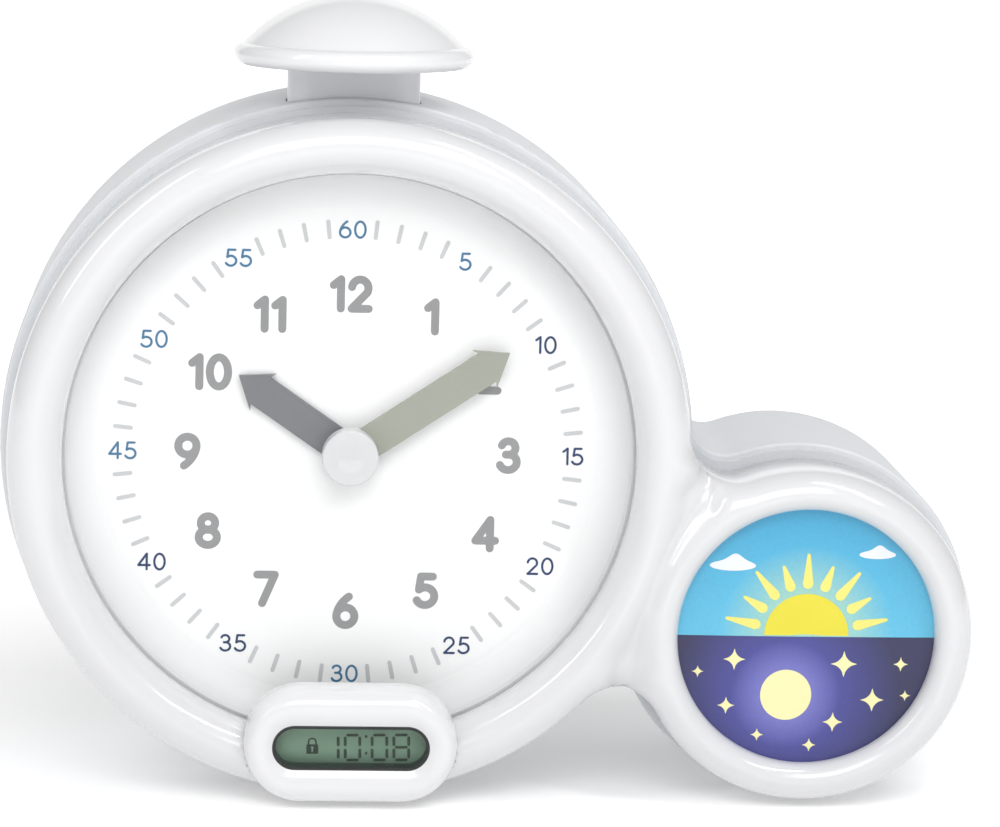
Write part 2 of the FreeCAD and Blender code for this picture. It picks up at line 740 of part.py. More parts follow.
def hand(label, length, bore, deg, y_front):
    """An arrow-shaped hand, drawn pointing at 12 and turned to its place."""
    body = new_body(label)
    sk = plane_sketch(body, label + "_outline", "XZ_Plane")
    w, bw, bl = d.hand_w / 2, d.barb_w / 2, d.barb_l
    neck = length - bl + 0.7
    draw(
        sk,
        (-w, 0.0),
        [
            ("line", (-w, neck)),
            ("line", (-bw, neck - 0.7)),
            ("line", (0.0, length)),
            ("line", (bw, neck - 0.7)),
            ("line", (w, neck)),
            ("line", (w, 0.0)),
            ("arc", (0.0, -w), (-w, 0.0)),
        ],
    )
    pad = body.newObject("PartDesign::Pad", label + "_pad")
    pad.Profile = sk
    pad.Reversed = True
    pad.setExpression("Length", d.hand_t.e)
    hs = plane_sketch(body, label + "_bore", "XZ_Plane")
    i = hs.addGeometry(Part.Circle(Vector(0, 0, 0), Vector(0, 0, 1), bore), False)
    hs.addConstraint(Sketcher.Constraint("Coincident", i, 3, -1, 1))
    hs.addConstraint(Sketcher.Constraint("Radius", i, bore))
    pk = body.newObject("PartDesign::Pocket", label + "_hole")
    pk.Profile = hs
    pk.Type = 1
    pk.Midplane = True
    doc.recompute()
    finish(body, label, 0.0, y_front, 0.0)
    body.Placement = Placement(body.Placement.Base, Rotation(Vector(0, 1, 0), deg.v))
    bind(body, "Placement.Rotation.Angle", deg if deg.v >= 0 else -deg)
    if deg.v < 0:
        body.Placement = Placement(body.Placement.Base, Rotation(Vector(0, -1, 0), -deg.v))
        body.setExpression("Placement.Rotation.Angle", (-deg).e)
    return body


hand("hour_hand", d.hour_len, 2.8, d.hour_deg, 6.3)
hand("minute_hand", d.minute_len, 1.3, d.minute_deg, 4.0)
cap = turned(
    "hub_cap",
    (0.0, -0.9),
    [
        ("line", (d.cap_r - 0.5, -0.9)),
        ("arc", (d.cap_r - 0.146, -0.754), (d.cap_r, -0.4)),
        ("line", (d.cap_r, 3.9)),
        ("line", (1.35, 3.9)),
        ("line", (1.35, 2.6)),
        ("line", (0.0, 2.6)),
        ("line", (0.0, -0.9)),
    ],
)
finish(cap, "hub_cap")

# ---------------------------------------------------------------- movement
# Motion work: cannon pinion 12 to minute wheel 36, minute pinion 12 to hour wheel 48, which is 12 to 1.
# Drive: rotor pinion 12 to third wheel 72, third pinion 12 to centre wheel 72, which is 36 to 1.
A = VAL["train_a"]
B = VAL["train_b"]
C = VAL["train_c"]
ax, az = A * math.cos(math.radians(200)), A * math.sin(math.radians(200))
bx, bz = B * math.cos(math.radians(-60)), B * math.sin(math.radians(-60))
c_dir = math.radians(-10)
rx, rz = bx + C * math.cos(c_dir), bz + C * math.sin(c_dir)


def mate_phase(n_fixed, phase_fixed, n_new, toward):
    """Phase of a new wheel that meshes with a fixed one; toward is the bearing from the fixed axis to the new."""
    rel = (toward - phase_fixed) * n_fixed / (2 * math.pi)
    frac = rel - math.floor(rel)
    # at the contact line the new wheel shows the gap where the fixed wheel shows its tooth
    back = toward + math.pi
    return back + (frac + 0.5) * 2 * math.pi / n_new


th_a = math.radians(200)
ph_cannon = 0.0
ph_minute = mate_phase(12, ph_cannon, 36, th_a)
ph_mpin = 0.3
ph_hour = mate_phase(12, ph_mpin, 48, th_a + math.pi)
th_b = math.radians(-60)
ph_centre = 0.1
ph_tpin = mate_phase(72, ph_centre, 12, th_b)
ph_third = 0.0
ph_rotor = mate_phase(72, ph_third, 12, c_dir)

arbor = rod(0, 0, 2.65, 26.6, 1.2)
cannon = gear(12, 0.5, 15.3, 16.7, ph_cannon)
collar = rod(0, 0, 16.7, 18.0, 2.32)
centre_wheel = gear(72, 0.35, 18.0, 19.0, ph_centre)
made(arbor.fuse([cannon, collar, centre_wheel]).removeSplitter(), "minute_arbor")
pipe = rod(0, 0, 6.2, 14.9, 2.7).cut(rod(0, 0, 5, 16, 1.3))
made(gear(48, 0.4, 13.8, 14.9, ph_hour, bore=1.3).fuse(pipe).removeSplitter(), "hour_wheel")
mw = gear(36, 0.5, 15.5, 16.5, ph_minute, ax, az)
mp = gear(12, 0.4, 13.6, 15.5, ph_mpin, ax, az)
made(mw.fuse([mp]).cut(rod(ax, az, 12, 20, 0.85)).removeSplitter(), "minute_wheel")
tw = gear(72, 0.3, 20.2, 21.1, ph_third, bx, bz)
tp = gear(12, 0.35, 17.7, 20.2, ph_tpin, bx, bz)
made(tw.fuse([tp, rod(bx, bz, 17.2, 17.7, 0.8), rod(bx, bz, 21.1, 26.6, 0.8)]).removeSplitter(), "third_wheel")
rp = gear(12, 0.3, 19.9, 21.3, ph_rotor, rx, rz)
made(rp.fuse([rod(rx, rz, 21.3, 21.8, 0.9), rod(rx, rz, 21.8, 24.2, 2.9), rod(rx, rz, 24.2, 26.6, 0.6), rod(rx, rz, 19.3, 19.9, 0.6)]).removeSplitter(), "rotor")
finish(group(cyl(ax, 12.2, az, 0.8, 4.2)), "minute_wheel_stud")

# plates, pillars, stator and coil of the movement
front_plate = cut(
    fuse(
        box(-27, 27, 11.9, 13.1, -27, 27),
        box(-27, -24, 13.1, 17.5, -27, 27),
        box(24, 27, 13.1, 17.5, -27, 27),
        *[cyl(px, d.dial_y + 1.5, pz, 2.0, 10.4 - d.dial_y + 0.3) for px in (-22, 22) for pz in (-22, 22)],
    ),
    cyl(0, 10, 0, 2.78, 10),
    cyl(ax, 10, az, 0.82, 10),
)
finish(front_plate, "movement_front_plate")
mid_plate = cut(
    box(-23.8, 23.8, 16.9, 17.5, -27, 27),
    cyl(0, 10, 0, 2.4, 20),
    cyl(bx, 16, bz, 0.85, 5),
)
finish(mid_plate, "movement_centre_plate")
rear_case = cut(
    fuse(
        cut(box(-27, 27, 17.6, 27.4, -27, 27), box(-25.4, 25.4, 17.5, 25.8, -25.4, 25.4)),
        box(rx - 2.4, 25.6, 19.1, 19.7, rz - 2.4, rz + 2.4),
    ),
    cyl(0, 20, 0, 1.25, 20),
    cyl(bx, 20, bz, 0.85, 20),
    cyl(rx, 18, rz, 0.65, 20),
)
finish(rear_case, "movement_rear_case")
stator = cut(
    box(rx - 7, rx + 5.4, 22.0, 23.2, rz - 6, 14.0),
    cyl(rx, 20, rz, 3.4, 6),
    box(rx - 4.0, rx + 2.4, 21, 24, rz + 7.5, 8.0),
)
finish(group(stator), "stator")
winding = cyl(-14.0, 21.9, 5.0, 2.5, 22.0, "x")
finish(group(cut(winding, cyl(-20, 21.9, 5.0, 1.25, 40, "x"))), "drive_coil")
finish(group(cyl(-18.0, 21.9, 5.0, 1.2, 30.7, "x")), "coil_core")

# ---------------------------------------------------------------- top button
dome = turned(
    "snooze_dome",
    (0.0, d.dome_top),
    [
        ("cap", (d.dome_r - 2.2, d.dome_z + 4.6)),
        ("arc", (d.dome_r - 0.05, d.dome_z + 2.2), (d.dome_r - 1.6, d.dome_z)),
        ("line", (d.dome_r - 3.4, d.dome_z)),
        ("line", (d.dome_r - 3.4, d.dome_z + 2.6)),
        ("cap", (0.0, d.dome_top - 2.4)),
        ("line", (0.0, d.dome_top)),
    ],
    "XZ_Plane",
)
finish(dome, "snooze_dome", 0.0, d.btn_y, 0.0)
stem = cut(
    fuse(cyl(0, d.btn_y, d.dome_z, d.dome_r - 3.5, 1.4, "z"), stem_block(0.0, 66.0, d.dome_z + 0.5)),
    stem_block(-2.0, 60.0, d.dome_z - 1.2),
)
lugs = [box(sx * 15.35 - 1.35, sx * 15.35 + 1.35, d.btn_y - 3, d.btn_y + 3, 69.4, 71.2) for sx in (-1, 1)]
finish(fuse(stem, cyl(0, d.btn_y, 60.5, 3.0, d.dome_z - 60.5, "z"), *lugs), "snooze_stem")
bracket = cut(
    fuse(
        box(-38, 38, d.btn_y - 9, d.btn_y + 9, 50.5, 52.5),
        box(-38, -36, d.btn_y - 9, d.btn_y + 9, 52.5, 62.4),
        box(36, 38, d.btn_y - 9, d.btn_y + 9, 52.5, 62.4),
    ),
    cyl(-20, d.btn_y, 45, 1.6, 12, "z"),
    cyl(20, d.btn_y, 45, 1.6, 12, "z"),
)
finish(bracket, "button_bracket")
tact = fuse(box(-3, 3, d.btn_y - 3, d.btn_y + 3, 52.5, 55.8), cyl(0, d.btn_y, 55.8, 1.7, 1.4, "z"))
finish(tact, "snooze_switch")
helix = Part.makeHelix(3.9, 27.3, 5.1)
helix.translate(Vector(0, 0, 0))
wire = Part.Wire(helix.Edges)
prof = Part.Wire([Part.Circle(Vector(5.1, 0, 0), Vector(0, 1, 0), 0.45).toShape()])
spring = wire.makePipeShell([prof], True, True)
made(spring, "snooze_spring", 0.0, d.btn_y, 53.3)

# ---------------------------------------------------------------- night light
disc = turned(
    "picture_disc",
    (0.0, d.disc_y - 0.5),
    [
        ("cap", (d.disc_seam_r - 0.05, d.disc_y + 0.05)),
        ("line", (d.disc_r, d.disc_y + 0.05)),
        ("line", (d.disc_r, d.disc_y + d.disc_t)),
        ("line", (0.0, d.disc_y + d.disc_t)),
        ("line", (0.0, d.disc_y - 0.5)),
    ],
)
finish(disc, "picture_disc", d.small_x, 0.0, d.small_z)
lb_y0 = d.disc_y + d.disc_t + 0.1
box_shell = cut(cyl(d.small_x, lb_y0, d.small_z, d.disc_r, 33 - lb_y0), cyl(d.small_x, lb_y0 - 1, d.small_z, d.disc_r - 1.6, 31.4 - (lb_y0 - 1)))
divider = box(d.small_x - d.disc_r + 1, d.small_x + d.disc_r - 1, lb_y0, 32, d.small_z - 0.8, d.small_z + 0.8)
light_posts = [cyl(px, 32.8, pz, 3.2, 10.1) for px, pz in well_xy[4:]]
light_bores = [cyl(px, 30.4, pz, 1.3, 22) for px, pz in well_xy[4:]]
led_holes = [cyl(d.small_x + ex, 30, d.small_z + ez, 2.9, 6) for ex in (-9.0, 9.0) for ez in (13.0, -13.0)]
light_box = cut(fuse(common(box_shell, cyl(d.small_x, -10, d.small_z, d.disc_r, 60)), divider, *light_posts), *light_bores, *led_holes)
finish(light_box, "light_box")
led_board = cut(
    box(d.small_x - 20, d.small_x + 20, 33.2, 34.8, d.small_z - 20, d.small_z + 20),
    *[cyl(px, 30, pz, 3.4, 10) for px, pz in well_xy[4:]],
)
finish(led_board, "led_board")


def led(x, z):
    return fuse(cyl(x, 28.6, z, 2.5, 4.6), cyl(x, 32.4, z, 2.8, 0.8))


finish(group(*[led(d.small_x + ex, d.small_z + 13.0) for ex in (-9.0, 9.0)]), "day_leds")
finish(group(*[led(d.small_x + ex, d.small_z - 13.0) for ex in (-9.0, 9.0)]), "night_leds")

# ---------------------------------------------------------------- display
pod_solid = rounded(stadium(d.pod_w, d.pod_h, d.y_pod, -1.6, d.pod_x, d.pod_z), 6.5, flat_at("y", VAL["y_pod"]))
pod_open = stadium(d.win_w + 0.6, d.win_h + 0.6, d.y_pod - 2, 0.0, d.pod_x, d.pod_z)
pod_hollow = stadium(d.pod_w - 6.4, d.pod_h - 6.4, d.y_pod + 5.4, 0.0, d.pod_x, d.pod_z)
pod_back = cut(box(-60, 60, d.y_web - 0.1, 0, -90, -30), cyl(0, -10, 0, d.seam_r - 0.15, 20))
pod = cut(pod_solid, pod_open, pod_hollow, pod_back)
finish(pod, "display_frame")
gasket = cut(
    stadium(d.win_w + 0.5, d.win_h + 0.5, d.y_pod + 1.2, d.y_pod + 5.3, d.pod_x, d.pod_z),
    stadium(d.win_w - 1.2, d.win_h - 1.2, d.y_pod, d.y_pod + 8, d.pod_x, d.pod_z),
)
finish(gasket, "display_gasket")
finish(group(stadium(d.win_w - 1.3, d.win_h - 1.3, d.y_pod + 1.3, d.y_pod + 2.1, d.pod_x, d.pod_z)), "display_window")
# the display's corners are cut to follow the hollow of its frame
finish(common(box(d.pod_x - 17.6, d.pod_x + 17.6, d.y_pod + 5.5, d.y_pod + 7.1, d.pod_z - 8.0, d.pod_z + 8.0), stadium(d.pod_w - 7.0, d.pod_h - 7.0, d.y_pod, 0.0, d.pod_x, d.pod_z)), "lcd_cell")
finish(common(box(d.pod_x - 17.6, d.pod_x + 17.6, d.y_pod + 7.15, d.y_pod + 8.15, d.pod_z - 8.0, d.pod_z + 8.0), stadium(d.pod_w - 7.0, d.pod_h - 7.0, d.y_pod, 0.0, d.pod_x, d.pod_z)), "lcd_backlight")
finish(common(box(d.pod_x - 17.0, d.pod_x + 17.0, d.y_pod + 8.2, d.y_pod + 9.2, d.pod_z - 8.2, d.pod_z + 8.0), stadium(d.pod_w - 7.0, d.pod_h - 7.0, d.y_pod, 0.0, d.pod_x, d.pod_z)), "lcd_board")
ribbon = fuse(
    box(d.pod_x - 6, d.pod_x + 6, d.y_pod + 9.2, 34.0, -68.5, -68.2),
    box(d.pod_x - 6, d.pod_x + 6, 33.7, 34.0, -68.5, -31.0),
    box(d.pod_x - 6, d.pod_x + 6, 32.6, 34.0, -31.3, -30.0),
)
finish(ribbon, "display_ribbon")

# ---------------------------------------------------------------- electronics and rear controls
stand_xz = [(-22, -26), (22, -26), (-22, 1), (22, 1)]
finish(cut(box(-40, 40, 31.0, 32.6, -34, 34), *[cyl(px, 30, pz, 1.6, 5) for px, pz in stand_xz]), "main_board")
finish(group(box(-9, 9, 32.6, 34.2, -6, 12), box(16, 26, 32.6, 35.0, -18, -8), box(-37, -27, 32.6, 34.4, 4, 12)), "main_chips")
finish(group(*[cyl(px, 32.6, pz, 2.4, 17.0) for px, pz in stand_xz]), "board_spacers")
finish(cut(box(-52, 10, 59.8, 61.4, 14.0, 41.0), cyl(-48.5, 58, 37.5, 1.5, 6), cyl(6.5, 58, 37.5, 1.5, 6)), "key_board")
finish(group(*[fuse(box(kx - 3, kx + 3, 61.4, 64.6, d.key_z - 3, d.key_z + 3), cyl(kx, 64.6, d.key_z, 1.6, 0.6)) for kx in key_xs]), "key_switches")
for name, kx in zip(("key_mode", "key_down", "key_up", "key_set"), key_xs):
    k = rounded(cyl(kx, 67.9, d.key_z, d.key_r, 3.3), 0.6, lambda e: abs(e.BoundBox.YMin - 71.2) < 1e-4 and e.BoundBox.YMax - e.BoundBox.YMin < 1e-4)
    finish(fuse(k, cyl(kx, 66.5, d.key_z, d.key_r + 0.9, 0.9), cyl(kx, 67.4, d.key_z, d.key_r, 0.6)), name)
for name, sx in zip(("alarm_slider", "lock_slider"), (-34.0, -14.0)):
    nub = fuse(
        box(sx - 5.6, sx - 0.6, 67.0, 71.0, 33.6, 38.0),
        box(sx - 5.9, sx - 0.3, 65.7, 67.2, 32.4, 39.2),
    )
    finish(cut(nub, box(sx - 4.4, sx - 4.0, 70.4, 72, 33, 39), box(sx - 3.3, sx - 2.9, 70.4, 72, 33, 39), box(sx - 2.2, sx - 1.8, 70.4, 72, 33, 39)), name)
finish(group(*[box(sx - 6.4, sx + 6.4, 61.4, 65.4, 33.0, 38.6) for sx in (-34.0, -14.0)]), "slide_switches")
# speaker
finish(cut(fuse(cyl(d.spk_x, 64.6, d.spk_z, d.spk_r, 2.6), cone(d.spk_x, 60.6, d.spk_z, 9.0, d.spk_r - 0.6, 4.0)), cone(d.spk_x, 61.6, d.spk_z, 7.6, d.spk_r - 1.6, 3.6), cyl(d.spk_x, 65.2, d.spk_z, d.spk_r - 1.6, 4)), "speaker_frame")
finish(group(cyl(d.spk_x, 55.8, d.spk_z, 8.6, 4.7)), "speaker_magnet")
cone_s = cut(cone(d.spk_x, 62.2, d.spk_z, 4.0, d.spk_r - 2.0, 3.0), cone(d.spk_x, 62.6, d.spk_z, 3.8, d.spk_r - 2.0, 2.9))
finish(fuse(cone_s, cyl(d.spk_x, 62.2, d.spk_z, 4.0, 0.4)), "speaker_cone")
# power inlet with its board
inlet = fuse(
    cut(box(inlet_x - 4.6, inlet_x + 4.6, 62.4, 69.6, inlet_z - 1.8, inlet_z + 1.8), box(inlet_x - 4.2, inlet_x + 4.2, 63.2, 71, inlet_z - 1.4, inlet_z + 1.4)),
    box(inlet_x - 3.2, inlet_x + 3.2, 63.0, 68.6, inlet_z - 0.35, inlet_z + 0.35),
)
finish(inlet, "power_inlet")
finish(group(box(inlet_x - 8, inlet_x + 8, 60.4, 62.0, inlet_z - 7, inlet_z + 7)), "inlet_board")

doc.recompute()
bad = [o.Name for o in doc.Objects if "Invalid" in o.State or "Error" in o.State]
if bad:
    for n in bad:
        o = doc.getObject(n)
        print(n, o.Label, o.State, "in", [q.Label for q in o.InList], "out", [q.Label for q in o.OutList])
    raise SystemExit("failed objects")
os.makedirs("parts", exist_ok=True)
for name in os.listdir("parts"):
    if name.endswith(".step"):
        os.remove(os.path.join("parts", name))
lo, hi = [1e9] * 3, [-1e9] * 3
for obj in NODES:
    shape = obj.Shape
    if shape.isNull() or not shape.isValid() or not shape.Solids:
        raise SystemExit("bad shape: " + obj.Label)
    b = shape.BoundBox
    for k, (u, v) in enumerate(((b.XMin, b.XMax), (b.YMin, b.YMax), (b.ZMin, b.ZMax))):
        lo[k], hi[k] = min(lo[k], u), max(hi[k], v)
    print("%-24s solids %2d  volume %10.2f  x %7.2f %7.2f  y %7.2f %7.2f  z %7.2f %7.2f" % (obj.Label, len(shape.Solids), shape.Volume, b.XMin, b.XMax, b.YMin, b.YMax, b.ZMin, b.ZMax))
    shape.exportStep(os.path.join("parts", obj.Label + ".step"))
print("nodes", len(NODES), "box", [round(v, 3) for v in lo], [round(v, 3) for v in hi])
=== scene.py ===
import math

import bmesh
import bpy
import numpy as np
from mathutils import Matrix, Vector


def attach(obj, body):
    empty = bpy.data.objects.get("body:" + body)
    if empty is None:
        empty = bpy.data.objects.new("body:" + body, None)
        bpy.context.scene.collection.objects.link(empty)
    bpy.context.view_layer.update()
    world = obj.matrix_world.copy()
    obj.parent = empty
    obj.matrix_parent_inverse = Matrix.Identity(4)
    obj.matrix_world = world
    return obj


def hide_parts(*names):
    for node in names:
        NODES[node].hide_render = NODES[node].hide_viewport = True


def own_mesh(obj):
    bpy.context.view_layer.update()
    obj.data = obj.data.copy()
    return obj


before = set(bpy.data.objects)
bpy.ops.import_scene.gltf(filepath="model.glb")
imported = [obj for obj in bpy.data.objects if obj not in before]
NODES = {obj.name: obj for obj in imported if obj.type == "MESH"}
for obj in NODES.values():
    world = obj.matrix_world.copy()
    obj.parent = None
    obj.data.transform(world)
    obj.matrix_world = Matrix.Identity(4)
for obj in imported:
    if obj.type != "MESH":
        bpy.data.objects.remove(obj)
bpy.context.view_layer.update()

# Working axes: millimetres from the dial's spindle, +X right, +Y into the clock, +Z up.
SX, SY, SZ = -31.25, -29.1, 75.0
BIG_R, SEAM_R = 73.5, 61.75
SMALL_X, SMALL_Z, SMALL_R, DISC_R = 99.5, -37.0, 36.5, 28.1
FILLET = 10.0
DIAL_Y = 8.0
POD_X, POD_Z, POD_W, POD_H, Y_POD = 1.0, -61.2, 46.4, 25.2, -13.0
WIN_W, WIN_H = 33.8, 9.6


def to_world(p):
    return ((p[0] + SX) / 1000.0, (p[1] + SY) / 1000.0, (p[2] + SZ) / 1000.0)


# ------------------------------------------------------------------ camera
def view_axes(yaw, pitch, roll):
    """Forward, right and up of a camera turned by yaw and pitch and rolled about its own line of sight."""
    f = np.array([math.sin(yaw) * math.cos(pitch), math.cos(yaw) * math.cos(pitch), math.sin(pitch)])
    r = np.array([math.cos(yaw), -math.sin(yaw), 0.0])
    u = np.cross(r, f)
    return f, math.cos(roll) * r + math.sin(roll) * u, -math.sin(roll) * r + math.cos(roll) * u


F_PX = 4029.0
CAM = np.array([-26.2, -854.7, 147.8])
fwd, r2, u2 = view_axes(0.068, -0.1592, 0.0255)
# a nearer eye, level with the clock's top, used only to lay out the small display's symbols
EYE = np.array([-23.6, -509.1, 130.6])
EYE_F, EYE_X, EYE_Y = 2389.2, 300.6, 8.0
EYE_AXES = view_axes(0.0217, -0.0674, 0.0206)


def on_plane(px, py, y):
    """The point of the plane y that is seen at image point (px, py) of the 1000 by 827 frame."""
    f, r, u = EYE_AXES
    d = f + r * ((px - EYE_X) / EYE_F) - u * ((py - EYE_Y) / EYE_F)
    t = (y - EYE[1]) / d[1]
    p = EYE + d * t
    return p[0], p[2]


# ------------------------------------------------------------------ materials
def tree(name):
    m = bpy.data.materials.new(name)
    m.use_nodes = True
    nt = m.node_tree
    bsdf = nt.nodes["Principled BSDF"]
    return m, nt, bsdf


def node(nt, kind, **values):
    n = nt.nodes.new(kind)
    for k, v in values.items():
        if k in n.inputs:
            n.inputs[k].default_value = v
        else:
            setattr(n, k, v)
    return n


def coords(nt, scale=1000.0):
    """Object coordinates in millimetres of the row frame."""
    tc = nt.nodes.new("ShaderNodeTexCoord")
    mp = nt.nodes.new("ShaderNodeMapping")
    mp.inputs["Scale"].default_value = (scale, scale, scale)
    nt.links.new(tc.outputs["Object"], mp.inputs["Vector"])
    return mp.outputs["Vector"]


def noise(nt, vec, scale, detail=3.0, rough=0.5):
    n = nt.nodes.new("ShaderNodeTexNoise")
    n.inputs["Scale"].default_value = scale
    n.inputs["Detail"].default_value = detail
    n.inputs["Roughness"].default_value = rough
    nt.links.new(vec, n.inputs["Vector"])
    return n.outputs["Fac"]


def remap(nt, fac, lo, hi, a=0.3, b=0.7):
    m = nt.nodes.new("ShaderNodeMapRange")
    m.inputs["From Min"].default_value = a
    m.inputs["From Max"].default_value = b
    m.inputs["To Min"].default_value = lo
    m.inputs["To Max"].default_value = hi
    nt.links.new(fac, m.inputs["Value"])
    return m.outputs["Result"]


def mixc(nt, fac, a, b):
    """Colour mix; a and b are tuples or sockets."""
    m = nt.nodes.new("ShaderNodeMix")
    m.data_type = "RGBA"
    for sock, v in ((m.inputs[6], a), (m.inputs[7], b)):
        if isinstance(v, tuple):
            sock.default_value = (*v[:3], 1.0)
        else:
            nt.links.new(v, sock)
    if isinstance(fac, float):
        m.inputs[0].default_value = fac
    else:
        nt.links.new(fac, m.inputs[0])
    return m.outputs[2]


def srgb(r, g, b):
    def lin(c):
        c /= 255.0
        return c / 12.92 if c <= 0.04045 else ((c + 0.055) / 1.055) ** 2.4

    return (lin(r), lin(g), lin(b))


def plastic(name, colour, rough=0.3, vary=0.02, grain=3.0, bump=0.0, bump_scale=2.2, coat=0.0, spec=0.5, rough_vary=0.05, sss=0.0):
    """Moulded plastic: slight clouding of the colour and gloss, and a fine surface grain."""
    m, nt, bsdf = tree(name)
    vec = coords(nt)
    cloud = noise(nt, vec, 0.045, 3.0)
    lo = tuple(max(0.0, c * (1 - vary)) for c in colour)
    hi = tuple(min(1.0, c * (1 + vary)) for c in colour)
    nt.links.new(mixc(nt, remap(nt, cloud, 0.0, 1.0), lo, hi), bsdf.inputs["Base Color"])
    fine = noise(nt, vec, grain, 2.0)
    nt.links.new(remap(nt, fine, max(0.02, rough - rough_vary), rough + rough_vary), bsdf.inputs["Roughness"])
    bsdf.inputs["Specular IOR Level"].default_value = spec
    bsdf.inputs["IOR"].default_value = 1.49
    if coat:
        bsdf.inputs["Coat Weight"].default_value = coat
        bsdf.inputs["Coat Roughness"].default_value = 0.04
    if bump:
        b = nt.nodes.new("ShaderNodeBump")
        b.inputs["Strength"].default_value = bump
        b.inputs["Distance"].default_value = 0.00004
        nt.links.new(noise(nt, vec, bump_scale, 4.0, 0.6), b.inputs["Height"])
        nt.links.new(b.outputs["Normal"], bsdf.inputs["Normal"])
    return m


def metal(name, colour, rough=0.3, stretch=(1.0, 1.0, 12.0), vary=0.08):
    m, nt, bsdf = tree(name)
    tc = nt.nodes.new("ShaderNodeTexCoord")
    mp = nt.nodes.new("ShaderNodeMapping")
    mp.inputs["Scale"].default_value = tuple(1000.0 * s for s in stretch)
    nt.links.new(tc.outputs["Object"], mp.inputs["Vector"])
    f = noise(nt, mp.outputs["Vector"], 0.6, 4.0)
    lo = tuple(c * (1 - vary) for c in colour)
    nt.links.new(mixc(nt, remap(nt, f, 0.0, 1.0), lo, colour), bsdf.inputs["Base Color"])
    nt.links.new(remap(nt, f, rough - 0.08, rough + 0.08), bsdf.inputs["Roughness"])
    bsdf.inputs["Metallic"].default_value = 1.0
    return m


WHITE = plastic("white_gloss", (0.64, 0.642, 0.653), rough=0.16, vary=0.008, coat=0.35, bump=0.05, bump_scale=0.35, rough_vary=0.03)
WHITE_SMALL = plastic("white_gloss_small", (0.69, 0.692, 0.70), rough=0.14, vary=0.008, coat=0.4, bump=0.05, bump_scale=0.5, rough_vary=0.03)
SHELL = plastic("shell_satin", srgb(208, 210, 213), rough=0.42, vary=0.012, bump=0.25, bump_scale=6.0, rough_vary=0.06)
GROOVE = plastic("groove_grey", srgb(176, 179, 183), rough=0.45, vary=0.015, bump=0.15, bump_scale=5.0)
STEM = plastic("stem_grey", srgb(222, 223, 225), rough=0.33, vary=0.012, bump=0.1, bump_scale=4.0)
DIAL = plastic("dial_white", (0.86, 0.86, 0.862), rough=0.5, vary=0.005, bump=0.05)


def shade_cove():
    """Painted shade: the dial's colour turns a little greyer where it curves up to its rim, standing in for the bezel's
    shade over the cove.
    """
    nt = DIAL.node_tree
    bsdf = nt.nodes["Principled BSDF"]
    away = nt.nodes.new("ShaderNodeVectorMath")
    away.operation = "DISTANCE"
    flat = nt.nodes.new("ShaderNodeVectorMath")
    flat.operation = "MULTIPLY"
    flat.inputs[1].default_value = (1.0, 0.0, 1.0)
    nt.links.new(coords(nt), flat.inputs[0])
    nt.links.new(flat.outputs[0], away.inputs[0])
    away.inputs[1].default_value = (SX, 0.0, SZ)
    old = bsdf.inputs["Base Color"].links[0].from_socket
    # painted shade: the dial's colour blends to grey between 53 and 61.5 mm from the spindle
    nt.links.new(mixc(nt, remap(nt, away.outputs["Value"], 0.0, 1.0, 53.0, 61.5), old, (0.64, 0.645, 0.65)), bsdf.inputs["Base Color"])


shade_cove()
HOUR = plastic("hand_dark", srgb(108, 110, 113), rough=0.4, vary=0.02, bump=0.12, bump_scale=5.0)
MINUTE = plastic("hand_olive", srgb(148, 151, 139), rough=0.42, vary=0.02, bump=0.12, bump_scale=5.0)
CAP = plastic("cap_grey", srgb(203, 203, 205), rough=0.28, vary=0.01, bump=0.06)
KEYS = plastic("key_white", (0.78, 0.78, 0.79), rough=0.25, vary=0.01, coat=0.2)
DIFFUSE = plastic("diffuse_white", (0.8, 0.8, 0.78), rough=0.55, vary=0.02, bump=0.1)
RUBBER = plastic("foot_rubber", (0.09, 0.09, 0.095), rough=0.75, vary=0.1, bump=0.5, bump_scale=3.0)
GASKET = plastic("gasket_dark", (0.012, 0.014, 0.015), rough=0.35, vary=0.2, bump=0.2)
BOARD = plastic("board_green", (0.02, 0.12, 0.05), rough=0.35, vary=0.25, grain=1.5, bump=0.4, bump_scale=1.2, coat=0.3)
CHIP = plastic("chip_black", (0.02, 0.02, 0.021), rough=0.5, vary=0.2, bump=0.3, bump_scale=5.0)
GEAR = plastic("gear_white", (0.72, 0.70, 0.64), rough=0.4, vary=0.03)
BLACKP = plastic("movement_black", (0.022, 0.022, 0.024), rough=0.45, vary=0.2, bump=0.3, bump_scale=5.0)
CELL = plastic("cell_jacket", (0.05, 0.13, 0.10), rough=0.25, vary=0.1, coat=0.4)
LEDM = plastic("led_clear", (0.8, 0.8, 0.7), rough=0.1, vary=0.05, coat=0.6)
PAPER = plastic("cone_paper", (0.03, 0.03, 0.033), rough=0.8, vary=0.3, bump=0.8, bump_scale=1.5)
FILM = plastic("film_amber", (0.32, 0.12, 0.02), rough=0.25, vary=0.1, coat=0.3)
STEEL = metal("steel", (0.60, 0.61, 0.62), 0.32)
ZINC = metal("zinc_screw", (0.68, 0.69, 0.70), 0.24, (6.0, 6.0, 6.0))
COPPER = metal("copper", (0.75, 0.36, 0.18), 0.28, (40.0, 1.0, 1.0), 0.3)
BRASS = metal("brass_gear", (0.74, 0.55, 0.25), 0.3, (5.0, 5.0, 5.0))
INK_GREY = plastic("ink_grey", srgb(139, 139, 140), rough=0.5, vary=0.02)
INK_TICK = plastic("ink_tick", srgb(192, 193, 195), rough=0.5, vary=0.02)
INK_NAVY = plastic("ink_navy", srgb(8, 46, 92), rough=0.5, vary=0.03)
INK_TEAL = plastic("ink_teal", srgb(56, 110, 146), rough=0.5, vary=0.03)
SEGMENT = plastic("lcd_segment", srgb(34, 50, 42), rough=0.4, vary=0.05)
